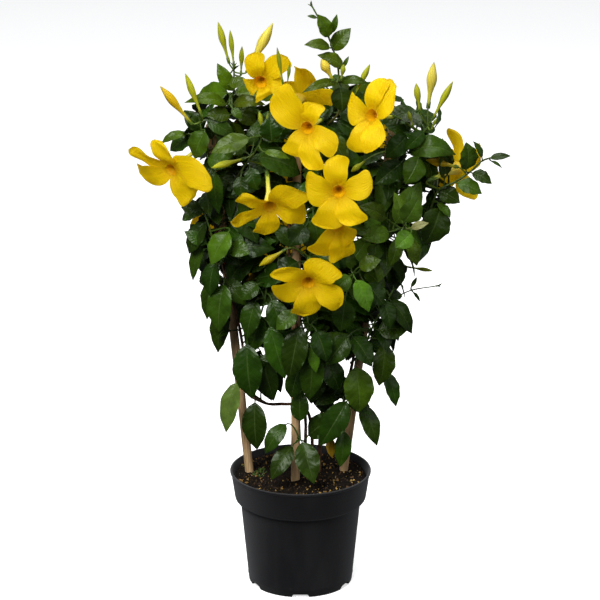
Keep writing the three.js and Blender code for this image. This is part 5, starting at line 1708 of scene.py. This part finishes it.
# Woody stems and canes
VINE_SIDES = 10
CANE_SIDES = 20
CANE_ROWS = 90
CANE_END_WIDTH = 0.9
bark, cane_wood = bark_material(), cane_material()
for name, line in VINES.items():
    shape = Shape()
    knots = draws(811 + len(name))()

    def vine_radius(share, knots=knots):
        swell = 1 + 0.1 * sin(share * 61 + knots * 6) * sin(share * 23)
        return (VINE_RADIUS + (VINE_TIP_RADIUS - VINE_RADIUS) * share) * swell

    add_tube(shape, places_along(line, len(line) * 10), vine_radius, VINE_SIDES, plain(STEM_RED), 0)
    make_piece("woody_stem_" + name, shape, [bark], "vine_" + name)

for name, cane in CANES.items():
    shape = Shape()
    phase = draws(611 + len(name))() * 9

    def cane_radius(share, phase=phase):
        joint = max(0, cos(share * 21 + phase)) ** 24
        end = CANE_END_WIDTH if share in (0, 1) else 1
        return CANE_RADIUS * end * (0.985 + 0.05 * joint + 0.012 * sin(share * 57 + phase))

    foot, head = cane_at(cane, CANE_FOOT), cane[1]
    rows = [mix(foot, head, share) for share in [*shares(CANE_ROWS)[:-1], 0.998, 1]]
    add_tube(shape, rows, cane_radius, CANE_SIDES, plain(STEM_RED), 0)
    make_piece("cane_rod_" + name, shape, [cane_wood], "cane_" + name)

# Pot
BAND_FOOT = POT_HEIGHT - BAND_HEIGHT
FLOOR = 3
NOTCHES = 6
NOTCH_WIDTH = 22
NOTCH_HEIGHT = 5.5
NOTCH_DEPTH = 9
DRAIN_HOLES = 4
DRAIN_RADIUS = 5
DRAIN_CIRCLE = 34
DRAIN_SIDES = 32
ARCH_STEPS = 12
POT_SIDES = 192
POT_CREASE = 40


def wall_radius(height):
    return FOOT_RADIUS + (SHOULDER_RADIUS - FOOT_RADIUS) * height / BAND_FOOT


# The pot's section by height and radius: up the outside, over the rim and down the inside
POT_PROFILE = [
    (0, FOOT_RADIUS - 1.4),
    (0.4, FOOT_RADIUS - 0.5),
    *((height, wall_radius(height) + out) for height, out in [(1.4, 0), (8, 0), (9, 0.35), (10, 0), (60, 0)]),
    *((BAND_FOOT - down, wall_radius(BAND_FOOT - down) + out) for down, out in [(3.4, 0), (2, 0.5)]),
    *((BAND_FOOT + up, BAND_FOOT_RADIUS + out) for up, out in [(-0.6, -3.2), (0.8, -0.6), (2.2, 0.1)]),
    *(
        (POT_HEIGHT - down, RIM_RADIUS - inward)
        for down, inward in [
            (4.2, 1.5), (3.2, 1.1), (2.5, 0.2), (1, 0), (0.3, 0.3), (0, 1), (0, 2.3), (0.8, 2.9),
        ]
    ),
    (BAND_FOOT + 3, BAND_FOOT_RADIUS - WALL),
    (BAND_FOOT, SHOULDER_RADIUS - WALL),
    (FLOOR, wall_radius(FLOOR) - WALL),
]


def foot_arches():
    """Blocks with an arched top, turned round the pot, that cut through the wall at its foot."""
    half = NOTCH_WIDTH / 2
    outline = [(-half, -1), (half, -1), (half - 0.6, 1)]
    for step in range(1, ARCH_STEPS):
        angle = pi * step / ARCH_STEPS
        outline.append(((half - 1.2) * cos(angle), 1 + (NOTCH_HEIGHT - 1) * sin(angle) ** 0.7))
    outline.append((-half + 0.6, 1))
    inner = FOOT_RADIUS - NOTCH_DEPTH
    arches = []
    for turn in angles(NOTCHES):
        shape = Shape()
        side, out = (cos(turn), sin(turn), 0), (sin(turn), -cos(turn), 0)
        rings = [
            [shape.add((side[0] * x + out[0] * y, side[1] * x + out[1] * y, z)) for x, z in outline]
            for y in (inner, inner + NOTCH_DEPTH + 4)
        ]
        close_rings(shape, rings, 0)
        arches.append(shape)
    return arches


def drain_cutters():
    cutters = []
    for angle in angles(DRAIN_HOLES, pi / DRAIN_HOLES):
        foot = (DRAIN_CIRCLE * cos(angle), DRAIN_CIRCLE * sin(angle), -FLOOR)
        shape = Shape()
        profile = [(0, DRAIN_RADIUS), (FLOOR * 4, DRAIN_RADIUS)]
        add_turned(shape, (foot, UP, RIGHT, BACK), profile, DRAIN_SIDES, plain(UNTINTED), 0)
        cutters.append(shape)
    return cutters


def plain_object(name, shapes):
    places, faces = [], []
    for shape in shapes:
        start = len(places)
        places += [times(place, MM) for place in shape.places]
        faces += [[start + corner for corner in face] for face in shape.faces]
    mesh = bpy.data.meshes.new(name)
    mesh.from_pydata(places, [], faces)
    return add_object(name, mesh)


def make_pot():
    shape = Shape()
    add_turned(shape, ((0, 0, 0), UP, RIGHT, BACK), POT_PROFILE, POT_SIDES, plain(UNTINTED), 0)
    pot = make_piece("nursery_pot", shape, [pot_material()], "pot")
    cutter = plain_object("pot_cuts", foot_arches() + drain_cutters())
    cut = pot.modifiers.new("cuts", "BOOLEAN")
    cut.object = cutter
    cut.solver = "EXACT"
    bpy.context.view_layer.update()
    carved = bpy.data.meshes.new_from_object(pot.evaluated_get(bpy.context.evaluated_depsgraph_get()))
    pot.modifiers.clear()
    pot.data = carved
    bpy.data.objects.remove(cutter)
    make_smooth(carved, POT_CREASE)


make_pot()

# Soil, with bark chips and a little moss on it
SOIL_SIDES = 132
SOIL_RINGS = 44
SOIL_EDGE = RIM_RADIUS - WALL - GAP - 4.2
SOIL_CREASE = 80
# The soil's bumps by height, width and seed
SOIL_BUMPS = [(2.4, 19, 3.1), (1.7, 7, 8.4), (1.1, 3, 1.7)]
CHIPS = 900
CHIP_CREASE = 25
CHIP_LEAST = 1.0
CHIP_SPREAD = 3.2
CHIP_SINK = 0.22
CHIP_INSET = 2.5
CHIP_RINGS = [(-0.5, 0.35), (-0.28, 0.85), (0.12, 1), (0.42, 0.6)]
CHIP_TINTS = [
    (0.420, 0.270, 0.075), (0.230, 0.130, 0.036), (0.050, 0.030, 0.012),
    (0.030, 0.017, 0.010), (0.120, 0.065, 0.030), (0.018, 0.011, 0.008),
]
MOSS_BLADES = 150
MOSS_SIDES = 5
# Patches of moss by column, row and radius
MOSS_PATCHES = [(259, 474, 9), (247, 467, 5), (262, 469, 4)]


def soil_height(x, y):
    bumps = sum(high * noise.noise(Vector((x / grain, y / grain, seed))) for high, grain, seed in SOIL_BUMPS)
    edge = max(0, hypot(x, y) / SOIL_EDGE - 0.86) * 9
    return SOIL_TOP + 0.8 + bumps - edge


def make_soil():
    shape = Shape()
    rings = []
    rows = [
        (wall_radius(FLOOR) - WALL - GAP - 0.4, FLOOR + GAP),
        (SHOULDER_RADIUS - WALL - GAP - 0.6, BAND_FOOT),
        (BAND_FOOT_RADIUS - WALL - GAP - 0.7, BAND_FOOT + 4.5),
        (SOIL_EDGE + 0.6, SOIL_TOP - 5),
        *((SOIL_EDGE * (1 - i / SOIL_RINGS), None) for i in range(SOIL_RINGS)),
    ]
    for radius, height in rows:
        places = [(radius * cos(angle), radius * sin(angle)) for angle in angles(SOIL_SIDES)]
        rings.append([shape.add((x, y, soil_height(x, y) if height is None else height)) for x, y in places])
    close_rings(shape, rings, 0)
    make_piece("peat_bed", shape, [peat_material()], "soil", SOIL_CREASE)


def add_chip(shape, centre, size, flat, draw, tint):
    """A small broken lump: a few rings of places, each pushed in or out at random."""
    one = unit((draw() - 0.5, draw() - 0.5, (draw() - 0.5) * 0.6))
    other = unit(cross(one, (draw() - 0.5, draw() - 0.5, 1)))
    axis = cross(one, other)
    rings = []
    for way, radius in CHIP_RINGS:
        ring = []
        for angle in angles(6):
            out = turned(one, times(other, 0.55), angle)
            place = plus(centre, axis, way * size * flat)
            ring.append(shape.add(plus(place, out, size * 0.5 * radius * (0.7 + 0.6 * draw())), tint))
        rings.append(ring)
    close_rings(shape, rings, 0)


def make_chips():
    draw = draws(4409)
    shape = Shape()
    standing = [cane_at(cane, SOIL_TOP) for cane in CANES.values()] + [line[1] for line in VINES.values()]
    for _ in range(CHIPS):
        radius = (SOIL_EDGE - CHIP_INSET) * draw() ** 0.36
        angle = FULL_TURN * draw()
        size = CHIP_LEAST + CHIP_SPREAD * draw() ** 2.2
        flat = 0.35 + 0.5 * draw()
        tint = CHIP_TINTS[int(draw() * len(CHIP_TINTS))]
        x, y = radius * cos(angle), radius * sin(angle)
        centre = (x, y, soil_height(x, y) + size * flat * CHIP_SINK)
        if min(hypot(x - place[0], y - place[1]) for place in standing) > CANE_RADIUS + size / 2:
            add_chip(shape, centre, size, flat, draw, tint)
    chip_material = tinted_material("bark_chips", 0.85, 0.2, (700, 4, (1, 0.4, 1)), (0.6, 1.35), 0.0006)
    make_piece("bark_chips", shape, [chip_material], None, CHIP_CREASE)


def on_soil(column, row):
    near, far = seen(column, row, 0), seen(column, row, 100)
    return plus(near, minus(far, near), (SOIL_TOP - near[2]) / (far[2] - near[2]))


def make_moss():
    draw = draws(977)
    shape = Shape()
    for _ in range(MOSS_BLADES):
        column, row, spread = MOSS_PATCHES[int(draw() * len(MOSS_PATCHES))]
        centre = on_soil(column, row)
        angle, away = FULL_TURN * draw(), spread * sqrt(draw())
        x, y = centre[0] + away * cos(angle), centre[1] + away * sin(angle)
        lean = unit(((draw() - 0.5) * 3, (draw() - 0.5) * 3, 1))
        length = 1.2 + 1.6 * draw()
        tint = times(MOSS_GREEN, 0.5 + 0.9 * draw())
        profile = [(0, 0.3), (length * 0.5, 0.9), (length * 0.8, 0.6), (length, 0.05)]
        foot = (x, y, soil_height(x, y) - 0.3)
        add_turned(shape, (foot, *cross_frame(lean)), profile, MOSS_SIDES, plain(tint), 0)
    make_piece("moss_tuft", shape, [foliage_materials[GREEN_STEM]])


make_soil()
make_chips()
make_moss()

# Floor, light and camera
FLOOR_SIZE = 6.0
FLOOR_GLOW = 0.60
AMBIENT_BELOW = 0.08
AMBIENT_ABOVE = 0.20
AMBIENT_SPAN = (-0.6, 0.7)
SKY_WHITE = (1, 1, 1)
SKY_SOFT = (0.92, 0.96, 1)
FLOOR_TONES = (0.90, 0.90, 0.90), (0.94, 0.94, 0.94)
LIGHT_TARGET = (0, 0, 0.42)
SENSOR = 36
# The lamps by name, place, size and power
LIGHTS = [
    ("key", (-0.9, -1.7, 2.3), (1.5, 1.5), 98),
    ("fill", (1.9, -1.5, 1.1), (1.2, 1.6), 10),
    ("top", (0.2, 0.3, 2.5), (1.6, 1.6), 42),
]


def make_floor():
    mesh = bpy.data.meshes.new("floor")
    corners = [(-1, -1), (1, -1), (1, 1), (-1, 1)]
    mesh.from_pydata([(x * FLOOR_SIZE, y * FLOOR_SIZE, 0) for x, y in corners], [], [(0, 1, 2, 3)])
    ground = add_object("floor", mesh)
    made = Material("pale_floor", 0.9, 0.1, Emission_Color=SKY_WHITE, Emission_Strength=FLOOR_GLOW)
    tone = made.mix(made.noise(3, 2), *FLOOR_TONES)
    mesh.materials.append(made.finish(tone, made.noise(200, 2), 0.0001))
    ground.visible_diffuse = False
    ground.visible_glossy = False


def add_light(name, place, size, power):
    lamp = bpy.data.lights.new(name, "AREA")
    lamp.shape = "RECTANGLE"
    lamp.size, lamp.size_y = size
    lamp.energy = power
    holder = add_object(name, lamp)
    holder.location = place
    holder.rotation_euler = (Vector(LIGHT_TARGET) - Vector(place)).to_track_quat("-Z", "Y").to_euler()


def make_world():
    """White behind the plant, and a weaker grey-white light from all round."""
    world = bpy.data.worlds.new("studio")
    world.use_nodes = True
    world.node_tree.nodes.clear()
    made = Nodes(world.node_tree)
    high = made.add("SeparateXYZ", {"Vector": made.add("TexCoord", {})["Generated"]})[2]
    strength = made.ramp(high, *AMBIENT_SPAN, AMBIENT_BELOW, AMBIENT_ABOVE)
    white = made.add("Background", {"Color": SKY_WHITE, "Strength": 1.0})[0]
    soft = made.add("Background", {"Color": SKY_SOFT, "Strength": strength})[0]
    looked_at = made.add("LightPath", {})["Is Camera Ray"]
    made.add("OutputWorld", {0: made.add("MixShader", {0: looked_at, 1: soft, 2: white})[0]})
    bpy.context.scene.world = world


def make_camera():
    camera = add_object("camera", bpy.data.cameras.new("camera"))
    camera.data.sensor_width = SENSOR
    camera.data.lens = EYE_FOCAL / PICTURE_SIZE * SENSOR
    camera.data.shift_x = (PICTURE_SIZE / 2 - PICTURE_MIDDLE[0]) / PICTURE_SIZE
    camera.data.clip_end = 50
    camera.location = times(EYE, MM)
    camera.rotation_euler = (pi / 2 - EYE_PITCH, 0, 0)
    bpy.context.scene.camera = camera


make_floor()
make_world()
make_camera()
for row in LIGHTS:
    add_light(*row)
bpy.context.scene.view_settings.view_transform = "Standard"
